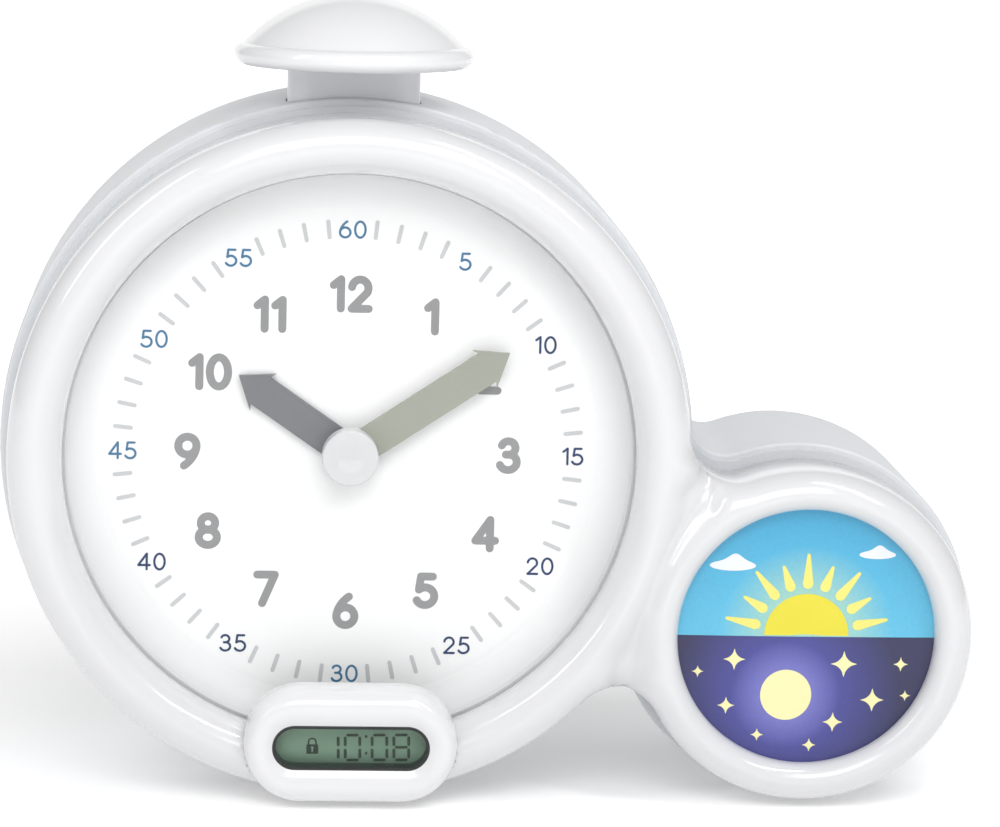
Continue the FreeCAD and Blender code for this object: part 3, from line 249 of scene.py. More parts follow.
SUN = plastic("print_sun", srgb(214, 202, 44), rough=0.35, vary=0.03, coat=0.3)
RAY = plastic("print_ray", srgb(222, 214, 110), rough=0.35, vary=0.03, coat=0.3)
CREAM = plastic("print_cream", srgb(228, 222, 165), rough=0.35, vary=0.03, coat=0.3)
CLOUD = plastic("print_cloud", srgb(222, 226, 230), rough=0.35, vary=0.02, coat=0.3)


def clear(name, tint, gloss_rough, mirror):
    """Thin clear plastic: see-through, with a light mirror that grows at a slant."""
    m, nt, bsdf = tree(name)
    out = nt.nodes["Material Output"]
    nt.nodes.remove(bsdf)
    tr = node(nt, "ShaderNodeBsdfTransparent")
    tr.inputs["Color"].default_value = (*tint, 1.0)
    gl = node(nt, "ShaderNodeBsdfGlossy")
    gl.inputs["Roughness"].default_value = gloss_rough
    lw = nt.nodes.new("ShaderNodeLayerWeight")
    lw.inputs["Blend"].default_value = 0.5
    pw = nt.nodes.new("ShaderNodeMath")
    pw.operation = "POWER"
    pw.inputs[1].default_value = 4.0
    nt.links.new(lw.outputs["Facing"], pw.inputs[0])
    sc = nt.nodes.new("ShaderNodeMath")
    sc.operation = "MULTIPLY_ADD"
    sc.inputs[2].default_value = 0.012
    vec = coords(nt)
    nt.links.new(pw.outputs[0], sc.inputs[0])
    nt.links.new(remap(nt, noise(nt, vec, 0.05), mirror * 0.9, mirror * 1.1), sc.inputs[1])
    mx = nt.nodes.new("ShaderNodeMixShader")
    nt.links.new(sc.outputs[0], mx.inputs[0])
    nt.links.new(tr.outputs[0], mx.inputs[1])
    nt.links.new(gl.outputs[0], mx.inputs[2])
    nt.links.new(mx.outputs[0], out.inputs["Surface"])
    return m


LENS = clear("clear_lens", (0.997, 0.998, 0.998), 0.03, 0.4)
PANE = clear("window_clear", (0.93, 0.96, 0.94), 0.05, 0.4)


def lcd_face():
    """Grey-green reflective display, with painted shade darkening it towards its bottom edge, and faint pixels of haze.
    """
    m, nt, bsdf = tree("lcd_face")
    vec = coords(nt)
    sep = nt.nodes.new("ShaderNodeSeparateXYZ")
    nt.links.new(vec, sep.inputs[0])
    base = mixc(nt, remap(nt, noise(nt, vec, 0.12), 0.0, 1.0), srgb(122, 148, 130), srgb(138, 164, 144))
    # painted shade: the lower few millimetres of the display darken towards the bottom of the window opening
    bottom_shade = remap(nt, sep.outputs["Z"], 0.0, 1.0, POD_Z + SZ - 5.0, POD_Z + SZ - 1.5)
    nt.links.new(mixc(nt, bottom_shade, srgb(96, 120, 106), base), bsdf.inputs["Base Color"])
    bsdf.inputs["Roughness"].default_value = 0.3
    return m


LCD = lcd_face()


def picture():
    """The printed film of the night light: a day sky over a night sky, split across the middle."""
    m, nt, bsdf = tree("picture_film")
    vec = coords(nt)
    sep = nt.nodes.new("ShaderNodeSeparateXYZ")
    nt.links.new(vec, sep.inputs[0])
    cz = SMALL_Z + SZ
    cx = SMALL_X + SX
    # day: a little paler towards the horizon
    day = mixc(nt, remap(nt, sep.outputs["Z"], 0.0, 1.0, cz, cz + 26), srgb(86, 176, 208), srgb(60, 158, 198))
    warm = nt.nodes.new("ShaderNodeVectorMath")
    warm.operation = "DISTANCE"
    nt.links.new(vec, warm.inputs[0])
    warm.inputs[1].default_value = (cx, -4.9 + SY, cz + 1.0)
    day = mixc(nt, remap(nt, warm.outputs["Value"], 0.55, 0.0, 9.0, 19.0), day, srgb(176, 206, 160))
    # night: navy with a violet glow round the moon
    glow = nt.nodes.new("ShaderNodeVectorMath")
    glow.operation = "DISTANCE"
    nt.links.new(vec, glow.inputs[0])
    glow.inputs[1].default_value = (cx - 4.0, -4.9 + SY, cz - 13.0)
    night = mixc(nt, remap(nt, glow.outputs["Value"], 1.0, 0.0, 5.0, 25.0), srgb(38, 38, 78), srgb(70, 72, 158))
    night = mixc(nt, remap(nt, glow.outputs["Value"], 0.7, 0.0, 5.0, 12.0), night, srgb(122, 122, 190))
    step = nt.nodes.new("ShaderNodeMath")
    step.operation = "GREATER_THAN"
    nt.links.new(sep.outputs["Z"], step.inputs[0])
    step.inputs[1].default_value = cz
    col = mixc(nt, step.outputs[0], night, day)
    speck = remap(nt, noise(nt, vec, 1.4, 4.0, 0.7), 0.95, 1.05)
    hs = nt.nodes.new("ShaderNodeHueSaturation")
    nt.links.new(col, hs.inputs["Color"])
    nt.links.new(speck, hs.inputs["Value"])
    nt.links.new(hs.outputs["Color"], bsdf.inputs["Base Color"])
    nt.links.new(remap(nt, noise(nt, vec, 2.0), 0.3, 0.42), bsdf.inputs["Roughness"])
    bsdf.inputs["Coat Weight"].default_value = 0.25
    bsdf.inputs["Coat Roughness"].default_value = 0.12
    return m


PICTURE = picture()

LOOK = {
    "front_bezel": WHITE, "joint_frame": GROOVE, "rear_shell": SHELL, "battery_door": SHELL, "door_screw": ZINC,
    "aa_cells": CELL, "battery_contacts": STEEL, "case_screws": ZINC, "rubber_feet": RUBBER, "dial_lens": LENS,
    "dial_dish": DIAL, "hour_hand": HOUR, "minute_hand": MINUTE, "hub_cap": CAP, "minute_arbor": BRASS,
    "hour_wheel": GEAR, "minute_wheel": GEAR, "third_wheel": GEAR, "rotor": GEAR, "minute_wheel_stud": STEEL,
    "movement_front_plate": BLACKP, "movement_centre_plate": BLACKP, "movement_rear_case": BLACKP, "stator": STEEL,
    "drive_coil": COPPER, "coil_core": STEEL, "snooze_dome": WHITE_SMALL, "snooze_stem": STEM, "button_bracket": DIFFUSE,
    "snooze_switch": CHIP, "snooze_spring": STEEL, "picture_disc": PICTURE, "light_box": DIFFUSE, "led_board": BOARD,
    "day_leds": LEDM, "night_leds": LEDM, "display_frame": WHITE_SMALL, "display_gasket": GASKET, "display_window": PANE,
    "lcd_cell": LCD, "lcd_backlight": DIFFUSE, "lcd_board": BOARD, "display_ribbon": FILM, "main_board": BOARD,
    "main_chips": CHIP, "board_spacers": DIFFUSE, "key_board": BOARD, "key_switches": CHIP, "key_mode": KEYS,
    "key_down": KEYS, "key_up": KEYS, "key_set": KEYS, "alarm_slider": KEYS, "lock_slider": KEYS,
    "slide_switches": STEEL, "speaker_frame": STEEL, "speaker_magnet": CHIP, "speaker_cone": PAPER,
    "power_inlet": CHIP, "inlet_board": BOARD,
}
for name, obj in NODES.items():
    mat = LOOK[name]
    if not obj.material_slots:
        obj.data.materials.append(mat)
    for s in obj.material_slots:
        s.material = mat


# ------------------------------------------------------------------ mesh building
class Mesh:
    """Vertices in working millimetres and faces, gathered before the object is made."""

    def __init__(self):
        self.v, self.f = [], []

    def add(self, verts, faces):
        base = len(self.v)
        self.v.extend(verts)
        self.f.extend(tuple(i + base for i in f) for f in faces)

    def build(self, name, mat, slot, body="case", smooth=True, sharp=None, weld=1e-5):
        me = bpy.data.meshes.new(name)
        me.from_pydata([to_world(p) for p in self.v], [], self.f)
        bm = bmesh.new()
        bm.from_mesh(me)
        if weld:
            bmesh.ops.remove_doubles(bm, verts=bm.verts, dist=weld)
        bmesh.ops.recalc_face_normals(bm, faces=bm.faces)
        bm.to_mesh(me)
        bm.free()
        if smooth:
            me.shade_smooth()
            if sharp is not None:
                me.set_sharp_from_angle(angle=math.radians(sharp))
        me.materials.append(mat)
        ob = bpy.data.objects.new(name, me)
        bpy.context.scene.collection.objects.link(ob)
        if body:
            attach(ob, body)
        return ob


def prism(poly, y0, y1):
    """A flat piece: the outline poly (x, z) from y0 (front) to y1."""
    n = len(poly)
    verts = [(x, y0, z) for x, z in poly] + [(x, y1, z) for x, z in poly]
    faces = [tuple(range(n)), tuple(range(2 * n - 1, n - 1, -1))]
    faces += [(i, (i + 1) % n, n + (i + 1) % n, n + i) for i in range(n)]
    return verts, faces


def line_sides(points, width, closed=False):
    """Left and right edges of a line of one width, mitred at its bends."""
    P = np.array(points, float)
    d = (np.roll(P, -1, 0) - P) if closed else (P[1:] - P[:-1])
    d /= np.linalg.norm(d, axis=1)[:, None]
    n = np.stack([-d[:, 1], d[:, 0]], 1)
    if closed:
        m = n + np.roll(n, 1, 0)
    else:
        m = np.vstack([n[:1], n[:-1] + n[1:], n[-1:]])
    m /= np.linalg.norm(m, axis=1)[:, None]
    first = n if closed else np.vstack([n, n[-1:]])
    k = 1.0 / np.maximum(0.4, np.sum(m * first, axis=1))
    off = m * (width / 2 * k)[:, None]
    return P, n, P + off, P - off


def stroke(mesh, points, width, y0, y1, caps=8):
    """A raised line of one width with round ends, or a closed loop if it ends where it starts."""
    P = [points[0]] + [q for p, q in zip(points, points[1:]) if math.hypot(q[0] - p[0], q[1] - p[1]) > 1e-6]
    closed = len(P) > 3 and math.hypot(P[0][0] - P[-1][0], P[0][1] - P[-1][1]) < 1e-6
    if closed:
        P = P[:-1]
    P, nrm, L, R = line_sides(P, width, closed)
    n = len(P)
    verts = [(x, y0, z) for x, z in L] + [(x, y0, z) for x, z in R] + [(x, y1, z) for x, z in L] + [(x, y1, z) for x, z in R]
    faces = []
    for i in range(n if closed else n - 1):
        j = (i + 1) % n
        faces += [(i, j, n + j, n + i), (2 * n + i, 3 * n + i, 3 * n + j, 2 * n + j), (i, 2 * n + i, 2 * n + j, j), (n + i, n + j, 3 * n + j, 3 * n + i)]
    mesh.add(verts, faces)
    if closed:
        return
    r = width / 2
    for c, u, turn in ((P[0], nrm[0], 1.0), (P[-1], nrm[-1], -1.0)):
        a0 = math.atan2(u[1], u[0])
        arcp = [(c[0] + r * math.cos(a0 + turn * math.pi * k / caps), c[1] + r * math.sin(a0 + turn * math.pi * k / caps)) for k in range(caps + 1)]
        q = len(arcp)
        verts = [(c[0], y0, c[1])] + [(x, y0, z) for x, z in arcp] + [(c[0], y1, c[1])] + [(x, y1, z) for x, z in arcp]
        faces = []
        for k in range(caps):
            faces += [(0, 1 + k, 2 + k), (q + 1, q + 3 + k, q + 2 + k), (1 + k, q + 2 + k, q + 3 + k, 2 + k)]
        mesh.add(verts, faces)


def arc(cx, cy, rx, ry, a0, a1, n=18):
    return [(cx + rx * math.cos(math.radians(a0 + (a1 - a0) * k / n)), cy + ry * math.sin(math.radians(a0 + (a1 - a0) * k / n))) for k in range(n + 1)]


def bezier(p0, p1, p2, p3, n=14):
    out = []
    for k in range(n + 1):
        t = k / n
        a, b, c, d = (1 - t) ** 3, 3 * t * (1 - t) ** 2, 3 * t * t * (1 - t), t**3
        out.append((a * p0[0] + b * p1[0] + c * p2[0] + d * p3[0], a * p0[1] + b * p1[1] + c * p2[1] + d * p3[1]))
    return out


# Numerals as centre lines in a box 1 high; each has its own width.
def numeral(ch):
    if ch == "0":
        return 0.62, [arc(0.31, 0.5, 0.31, 0.5, 90, 450, 40)]
    if ch == "1":
        return 0.27, [[(0.0, 0.80), (0.25, 1.0)], [(0.25, 1.0), (0.25, 0.0)]]
    if ch == "2":
        return 0.62, [arc(0.30, 0.70, 0.28, 0.30, 172, -28, 22) + [(0.02, 0.0)], [(0.02, 0.0), (0.60, 0.0)]]
    if ch == "3":
        return 0.60, [arc(0.28, 0.765, 0.245, 0.235, 158, -78, 20), arc(0.28, 0.275, 0.30, 0.275, 76, -158, 24), [(0.20, 0.535), (0.33, 0.535)]]
    if ch == "4":
        return 0.68, [[(0.50, 0.0), (0.50, 1.0)], [(0.50, 1.0), (0.0, 0.27)], [(0.0, 0.27), (0.68, 0.27)]]
    if ch == "5":
        return 0.60, [[(0.54, 1.0), (0.13, 1.0)], [(0.13, 1.0), (0.07, 0.54)], bezier((0.07, 0.54), (0.16, 0.60), (0.22, 0.62), (0.30, 0.62), 8)[:-1] + arc(0.28, 0.31, 0.32, 0.31, 86, -152, 24)]
    if ch == "6":
        return 0.62, [arc(0.31, 0.31, 0.31, 0.31, 180, 540, 36), bezier((0.0, 0.33), (0.03, 0.62), (0.22, 0.86), (0.42, 1.0), 14)]
    if ch == "7":
        return 0.60, [[(0.0, 1.0), (0.60, 1.0)], [(0.60, 1.0), (0.18, 0.0)]]
    if ch == "8":
        return 0.62, [arc(0.31, 0.765, 0.245, 0.235, 90, 450, 32), arc(0.31, 0.27, 0.31, 0.27, 90, 450, 36)]
    if ch == "9":
        return 0.62, [arc(0.31, 0.69, 0.31, 0.31, 0, 360, 36), bezier((0.62, 0.67), (0.59, 0.38), (0.40, 0.14), (0.20, 0.0), 14)]
    raise ValueError(ch)


def write(mesh, text, cx, cz, height, width, gap, y0, y1, stretch=1.0):
    """Numerals centred at (cx, cz): height over the ink, strokes of the given width."""
    h = height - width
    gl = [numeral(c) for c in text]
    ws = [g[0] * h * stretch for g in gl]
    total = sum(ws) + (width + gap) * (len(text) - 1)
    x = cx - total / 2
    for (w0, lines), w in zip(gl, ws):
        for step, ln in enumerate(lines):
            pts = [(x + px * h * stretch, cz - h / 2 + pz * h) for px, pz in ln]
            stroke(mesh, pts, width, y0 - 0.015 * step, y1)
        x += w + width + gap


# ------------------------------------------------------------------ front bezel
O = np.array([0.0, 0.0])
C = np.array([SMALL_X, SMALL_Z])
AXIS = (C - O) / np.linalg.norm(C - O)
SIDE = np.array([-AXIS[1], AXIS[0]])
DIST = float(np.linalg.norm(C - O))
ALONG = ((BIG_R + FILLET) ** 2 - (SMALL_R + FILLET) ** 2 + DIST**2) / (2 * DIST)
LAT = math.sqrt((BIG_R + FILLET) ** 2 - ALONG**2)
TOPC = AXIS * ALONG + SIDE * LAT
LOWC = AXIS * ALONG - SIDE * LAT


def between(p, c):
    """True where p lies in the sector at c that looks at both lobe centres."""
    u, v, w = O - c, C - c, p - c
    cr = lambda a, b: a[..., 0] * b[..., 1] - a[..., 1] * b[..., 0]
    s = np.sign(cr(u, v))
    return (cr(u, w) * s >= 0) & (cr(w, v) * s >= 0)


def depth_in(p):
    """How far p lies inside the case's outline, seen from the front."""
    p = np.asarray(p, float)
    r1, r2_ = np.linalg.norm(p - O, axis=-1), np.linalg.norm(p - C, axis=-1)
    out = np.maximum(BIG_R - r1, SMALL_R - r2_)
    t = np.linalg.norm(p - TOPC, axis=-1) - FILLET
    l = np.linalg.norm(p - LOWC, axis=-1) - FILLET
    above = (p - O) @ SIDE >= 0
    out = np.where(between(p, TOPC) & above, t, out)
    return np.where(between(p, LOWC) & ~above, l, out)


def sstep(x):
    x = np.clip(x, 0, 1)
    return x * x * (3 - 2 * x)


def quarter(x):
    """Rise of a quarter circle from 0 at x = 0 to 1 at x = 1."""
    x = np.clip(x, 0, 1)
    return np.sqrt(np.maximum(0.0, 1 - (1 - x) ** 2))


def smax(a, b, k):
    h = np.clip(0.5 + 0.5 * (a - b) / k, 0, 1)
    return b + (a - b) * h + k * h * (1 - h)


def pod_inside(p, grow=0.0):
    half = (POD_W - POD_H) / 2
    dx = np.maximum(np.abs(p[..., 0] - POD_X) - half, 0)
    return POD_H / 2 + grow - np.hypot(dx, p[..., 1] - POD_Z)


def relief(p):
    """Height of the bezel's face towards the viewer over the plane of the dial seam."""
    p = np.asarray(p, float)
    r1, r2_ = np.linalg.norm(p - O, axis=-1), np.linalg.norm(p - C, axis=-1)
    D = depth_in(p)
    t1, t2 = r1 - SEAM_R, r2_ - DISC_R
    ex1 = np.maximum(0, D - (BIG_R - r1))
    ex2 = np.maximum(0, D - (SMALL_R - r2_))
    h1 = 1.6 + 7.4 * quarter(t1 / 6.2) - 4.6 * sstep((t1 - 5.0) / 9.5) * sstep(ex1 / 6.0)
    h2 = 5.4 + 4.0 * quarter(t2 / 4.4) - 4.6 * sstep((t2 - 3.6) / 7.5) * sstep(ex2 / 6.0)
    near1, near2 = t1 < 3.0, t2 < 2.0
    # each ring keeps its own inner edge; elsewhere the two melt together
    both = smax(h1, h2, 1.6)
    w1 = sstep((t1 - 0.5) / 3.5)
    w2 = sstep((t2 - 0.3) / 2.6)
    h = both * w1 * w2 + h1 * (1 - w1) + h2 * (1 - w2) * w1
    # rounding down to the side wall
    h = h - 6.4 * (1 - quarter(D / 6.0))
    # seat of the display frame
    flat = sstep((pod_inside(p) - 0.5) / 1.2)
    return h * (1 - flat) + 3.3 * flat


def reach(centre, direction, limit):
    """Distance along a ray from a lobe centre to the case's outline."""
    steps = np.arange(5.0, limit, 0.25)
    inside = depth_in(centre[None, :] + direction[None, :] * steps[:, None]) > 0
    first = int(np.argmin(inside))
    lo, hi = steps[first - 1], steps[first]
    for _ in range(40):
        mid = (lo + hi) / 2
        if depth_in(centre + direction * mid) > 0:
            lo = mid
        else:
            hi = mid
    return lo


CUT = 71.0
CUT_HALF = LAT - math.sqrt(FILLET**2 - (ALONG - CUT) ** 2)


def lobe_rays(centre, sign, n_free, n_cut):
    """Rays from a lobe centre round to the outline, or to the line where the lobes are joined.
    Returns (end point, on the joining line) in order."""
    dist = CUT if sign > 0 else DIST - CUT
    ax = AXIS * sign
    half = math.atan2(CUT_HALF, dist)
    rays = []
    for k in range(n_cut + 1):
        s = CUT_HALF * (-1 + 2 * k / n_cut)
        end = AXIS * CUT + SIDE * s
        rays.append((end, True))
    # the rest of the way round, on the far side, counter-clockwise or clockwise from +SIDE
    base = math.atan2(ax[1], ax[0])
    turn = 1 if sign > 0 else -1
    free = []
    for k in range(1, n_free):
        # angles crowd a little near the hollows between the lobes
        u = k / n_free
        w = u - 0.10 * math.sin(2 * math.pi * u) / (2 * math.pi)
        a = half + (2 * math.pi - 2 * half) * w
        d = np.array([math.cos(base + turn * a), math.sin(base + turn * a)])
        free.append((centre + d * reach(centre, d, 140.0 if sign > 0 else 100.0), False))
    return rays + free


def spaced(n, ends):
    """Fractions from 0 to 1, crowded at the inner edge and, with ends, at the outer edge too."""
    t = np.linspace(0, 1, n)
    if ends:
        return (1 - np.cos(math.pi * t)) / 2
    return 1 - np.cos(math.pi * t / 2)


def bezel_mesh():
    m = Mesh()
    rim = {}
    for centre, seam, sign, n_free, n_cut in ((O, SEAM_R, 1, 380, 44), (C, DISC_R, -1, 230, 44)):
        rays = lobe_rays(centre, sign, n_free, n_cut)
        rows = []
        M = 34
        inner = []
        for end, joined in rays:
            d = end - centre
            L = np.linalg.norm(d)
            d = d / L
            s = 0.72 * spaced(M, True) + 0.28 * spaced(M, True)
            r = seam + (L - seam) * s
            pts = centre + d[None, :] * r[:, None]
            h = relief(pts)
            col = [(float(q[0]), -float(z), float(q[1])) for q, z in zip(pts, h)]
            lead = centre + d * seam
            back = 0.35 if sign > 0 else -4.3
            col = [(float(lead[0]), back, float(lead[1]))] + col
            rows.append(col)
            rim.setdefault(sign, []).append((end, joined, col[-1]))
        n = len(rows)
        k = len(rows[0])
        verts = [p for col in rows for p in col]
        faces = []
        for i in range(n):
            j = (i + 1) % n
            for q in range(k - 1):
                faces.append((i * k + q, j * k + q, j * k + q + 1, i * k + q + 1))
        m.add(verts, faces)
    # side wall, from the front's outer edge to the rear edge and back inside
    loop = []
    A = [r for r in rim[1]]
    B = [r for r in rim[-1]]
    big = [r[2] for r in A if not r[1]]
    small = [r[2] for r in B if not r[1]]
    top_join = A[44][2]
    low_join = A[0][2]
    # A runs from the lower end of the joining line to its upper end, then round the big lobe;
    # B runs the same way along the joining line, then round the small lobe the other way
    loop = [top_join] + big + [low_join] + small[::-1]
    pts = np.array([(p[0], p[2]) for p in loop])
    nxt, prv = np.roll(pts, -1, 0), np.roll(pts, 1, 0)
    tan = nxt - prv
    tan /= np.linalg.norm(tan, axis=1)[:, None]
    nor = np.stack([tan[:, 1], -tan[:, 0]], 1)
    probe = depth_in(pts + nor * 0.5)
    if np.median(probe) > 0:
        nor = -nor
    y0 = np.array([p[1] for p in loop])
    profile = [(0.0, None), (0.0, 11.3), (0.12, 11.75), (0.45, 12.0), (1.9, 12.0), (2.2, 11.7), (2.2, 4.0)]
    n = len(loop)
    rows = []
    for inset, y in profile:
        if y is None:
            rows.append([(float(a[0]), float(b), float(a[1])) for a, b in zip(pts, y0)])
            # an extra row halfway keeps the long wall's shading even
            rows.append([(float(a[0]), float(b + (11.3 - b) * 0.12), float(a[1])) for a, b in zip(pts, y0)])
        else:
            rows.append([(float(a[0] - c[0] * inset), y, float(a[1] - c[1] * inset)) for a, c in zip(pts, nor)])
    verts = [p for row in rows for p in row]
    faces = []
    for i in range(len(rows) - 1):
        for j in range(n):
            jj = (j + 1) % n
            faces.append((i * n + j, i * n + jj, (i + 1) * n + jj, (i + 1) * n + j))
    m.add(verts, faces)
    return m


bezel = bezel_mesh().build("bezel_skin", WHITE, "white_gloss", sharp=50)
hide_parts("front_bezel")


# ------------------------------------------------------------------ display frame
def stadium_loop(w, h, n_end=40, n_side=10):
    """Points round a shape with round ends, as (x, z, outward x, outward z), from the frame's centre."""
    half, r = (w - h) / 2, h / 2
    pts = []
    for k in range(n_side):
        pts.append((half - 2 * half * k / n_side, r, 0.0, 1.0))
    for k in range(n_end):
        a = math.pi / 2 + math.pi * k / n_end
        pts.append((-half + r * math.cos(a), r * math.sin(a), math.cos(a), math.sin(a)))
    for k in range(n_side):
        pts.append((-half + 2 * half * k / n_side, -r, 0.0, -1.0))
    for k in range(n_end):
        a = -math.pi / 2 + math.pi * k / n_end
        pts.append((half + r * math.cos(a), r * math.sin(a), math.cos(a), math.sin(a)))
    return pts


def pod_mesh():
    """Rows of (share of the way from the outline to the window, inset at the outline's corner, y)."""
    m = Mesh()
    outer = stadium_loop(POD_W, POD_H)
    inner = stadium_loop(WIN_W, WIN_H)
    rows = []
    # outer wall
    for y in (-3.55, -4.4, -5.6, -6.6):
        rows.append([(x, y, z) for x, z, _, _ in outer])
    # crown: a smooth arch from the wall over to the window's lip
    n = 22
    for k in range(1, n + 1):
        t = k / n
        rise = math.sqrt(max(0.0, 1 - (1 - min(1.0, t / 0.62)) ** 2))
        fall = 0.0 if t < 0.62 else ((t - 0.62) / 0.38) ** 2 * 1.25
        y = -6.6 - 6.4 * rise + fall
        s = 0.5 * t + 0.5 * (1 - math.cos(math.pi * t / 2))
        rows.append([(a[0] + (b[0] - a[0]) * s, y, a[1] + (b[1] - a[1]) * s) for a, b in zip(outer, inner)])
    last = rows[-1]
    rows.append([(x - a[2] * 0.25, p[1] + 0.12, z - a[3] * 0.25) for p, a, (x, _, z) in zip(last, inner, last)])
    rows.append([(x - a[2] * 0.35, p[1] + 0.5, z - a[3] * 0.35) for p, a, (x, _, z) in zip(last, inner, last)])
    rows.append([(x - a[2] * 0.35, -9.4, z - a[3] * 0.35) for a, (x, _, z) in zip(inner, last)])
    n = len(outer)
    verts = [(x + POD_X, y, z + POD_Z) for row in rows for x, y, z in row]
    faces = []
    for i in range(len(rows) - 1):
        for j in range(n):
            jj = (j + 1) % n
            faces.append((i * n + j, i * n + jj, (i + 1) * n + jj, (i + 1) * n + j))
    m.add(verts, faces)
    return m


pod = pod_mesh().build("display_frame_skin", WHITE_SMALL, "white_gloss", sharp=60)
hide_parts("display_frame")

# ------------------------------------------------------------------ dial print
Y0, Y1 = DIAL_Y - 0.05, DIAL_Y + 0.02
# the print sits a little low on the dial
PX, PZ = -0.2, -0.3
hours, minutes_dark, minutes_pale, ticks = Mesh(), Mesh(), Mesh(), Mesh()
for k in range(1, 13):
    a = math.radians(30 * k)
    write(hours, str(k), PX + 34.9 * math.sin(a), PZ + 34.9 * math.cos(a), 8.1, 1.75, 0.35, Y0, Y1)
    v = 5 * k
    mesh = minutes_dark if v in (10, 15, 20, 25, 35, 40) else minutes_pale
    write(mesh, str(v), PX + 48.9 * math.sin(a), PZ + 48.9 * math.cos(a), 3.95, 0.5, 0.5, Y0, Y1, 1.05)
for k in range(60):
    if k % 5 == 0:
        continue
    a = math.radians(6 * k)
    s, c = math.sin(a), math.cos(a)
    stroke(ticks, [(PX + 47.4 * s, PZ + 47.4 * c), (PX + 50.8 * s, PZ + 50.8 * c)], 0.9, Y0, Y1)
hours.build("hour_numerals", INK_GREY, "dial_white", smooth=False, weld=1e-7)
minutes_dark.build("minute_numerals_navy", INK_NAVY, "dial_white", smooth=False, weld=1e-7)
minutes_pale.build("minute_numerals_teal", INK_TEAL, "dial_white", smooth=False, weld=1e-7)
ticks.build("minute_ticks", INK_TICK, "dial_white", smooth=False, weld=1e-7)


# ------------------------------------------------------------------ display digits
LY0, LY1 = Y_POD + 5.5 - 0.04, Y_POD + 5.5 + 0.02


def seg(mesh, pts):
    mesh.add(*prism([on_plane(px, py, LY0) for px, py in pts], LY0, LY1))


def vbar(mesh, x, top, bottom, w=3.0, lean=0.0):
    seg(mesh, [(x - w / 2 + lean, top + 1.2), (x + lean, top), (x + w / 2 + lean, top + 1.2), (x + w / 2 - lean, bottom - 1.2), (x - lean, bottom), (x - w / 2 - lean, bottom - 1.2)])


def hbar(mesh, x0, x1, y, w=2.8):
    seg(mesh, [(x0, y), (x0 + 1.4, y - w / 2), (x1 - 1.4, y - w / 2), (x1, y), (x1 - 1.4, y + w / 2), (x0 + 1.4, y + w / 2)])


digits = Mesh()
TOP, MIDY, BOT = 733.2, 745.6, 758.2


def digit(mesh, x0, x1, segs):
    if "a" in segs:
        hbar(mesh, x0 + 2.2, x1 - 2.2, TOP)
    if "g" in segs:
        hbar(mesh, x0 + 2.2, x1 - 2.2, MIDY)
    if "d" in segs:
        hbar(mesh, x0 + 2.2, x1 - 2.2, BOT)
    if "f" in segs:
        vbar(mesh, x0 + 1.5, TOP + 1.2, MIDY - 1.0)
    if "b" in segs:
        vbar(mesh, x1 - 1.5, TOP + 1.2, MIDY - 1.0)
    if "e" in segs:
        vbar(mesh, x0 + 1.5, MIDY + 1.0, BOT - 1.2)
    if "c" in segs:
        vbar(mesh, x1 - 1.5, MIDY + 1.0, BOT - 1.2)


digit(digits, 320.0, 338.4, "bc")
digit(digits, 342.4, 360.0, "abcdef")
digit(digits, 369.4, 387.1, "abcdef")
digit(digits, 391.2, 409.1, "abcdefg")
for py in (734.6, 751.4):
    digits.add(*prism([on_plane(364.9 + 1.5 * math.cos(t * math.pi / 8), py + 1.5 * math.sin(t * math.pi / 8), LY0) for t in range(16)], LY0, LY1))
# padlock
px0, px1, py0, py1 = 304.9, 316.9, 742.3, 751.8
body_ = []
for cx, cy, a0 in ((px1 - 1, py0 + 1, -90), (px1 - 1, py1 - 1, 0), (px0 + 1, py1 - 1, 90), (px0 + 1, py0 + 1, 180)):
    for k in range(4):
        a = math.radians(a0 + 30 * k)
        body_.append((cx + math.cos(a), cy + math.sin(a)))
digits.add(*prism([on_plane(x, y, LY0) for x, y in body_], LY0, LY1))
shackle = [(307.2, 742.6), (307.2, 739.8)] + [(310.9 - 3.7 * math.cos(math.radians(a)), 739.8 - 3.4 * math.sin(math.radians(a))) for a in range(15, 166, 15)] + [(314.6, 739.8), (314.6, 742.6)]
stroke(digits, [on_plane(x, y, LY0) for x, y in shackle], 0.36, LY0, LY1, 4)
digits.build("display_digits", SEGMENT, "lcd_face", smooth=False, weld=1e-7)
keyhole = Mesh()
keyhole.add(*prism([on_plane(310.9 + 1.3 * math.cos(t * math.pi / 6), 745.6 + 1.3 * math.sin(t * math.pi / 6), LY0) for t in range(12)], LY0 - 0.03, LY1))
keyhole.add(*prism([on_plane(x, y, LY0) for x, y in ((310.3, 746), (311.5, 746), (311.8, 749.6), (310.0, 749.6))], LY0 - 0.03, LY1))
keyhole.build("padlock_keyhole", LCD, "lcd_face", smooth=False, weld=1e-7)


# ------------------------------------------------------------------ picture on the night light
def film_y(x, z):
    r = math.hypot(x, z)
    return -5.1 + 0.55 * (r / 28.05) ** 2


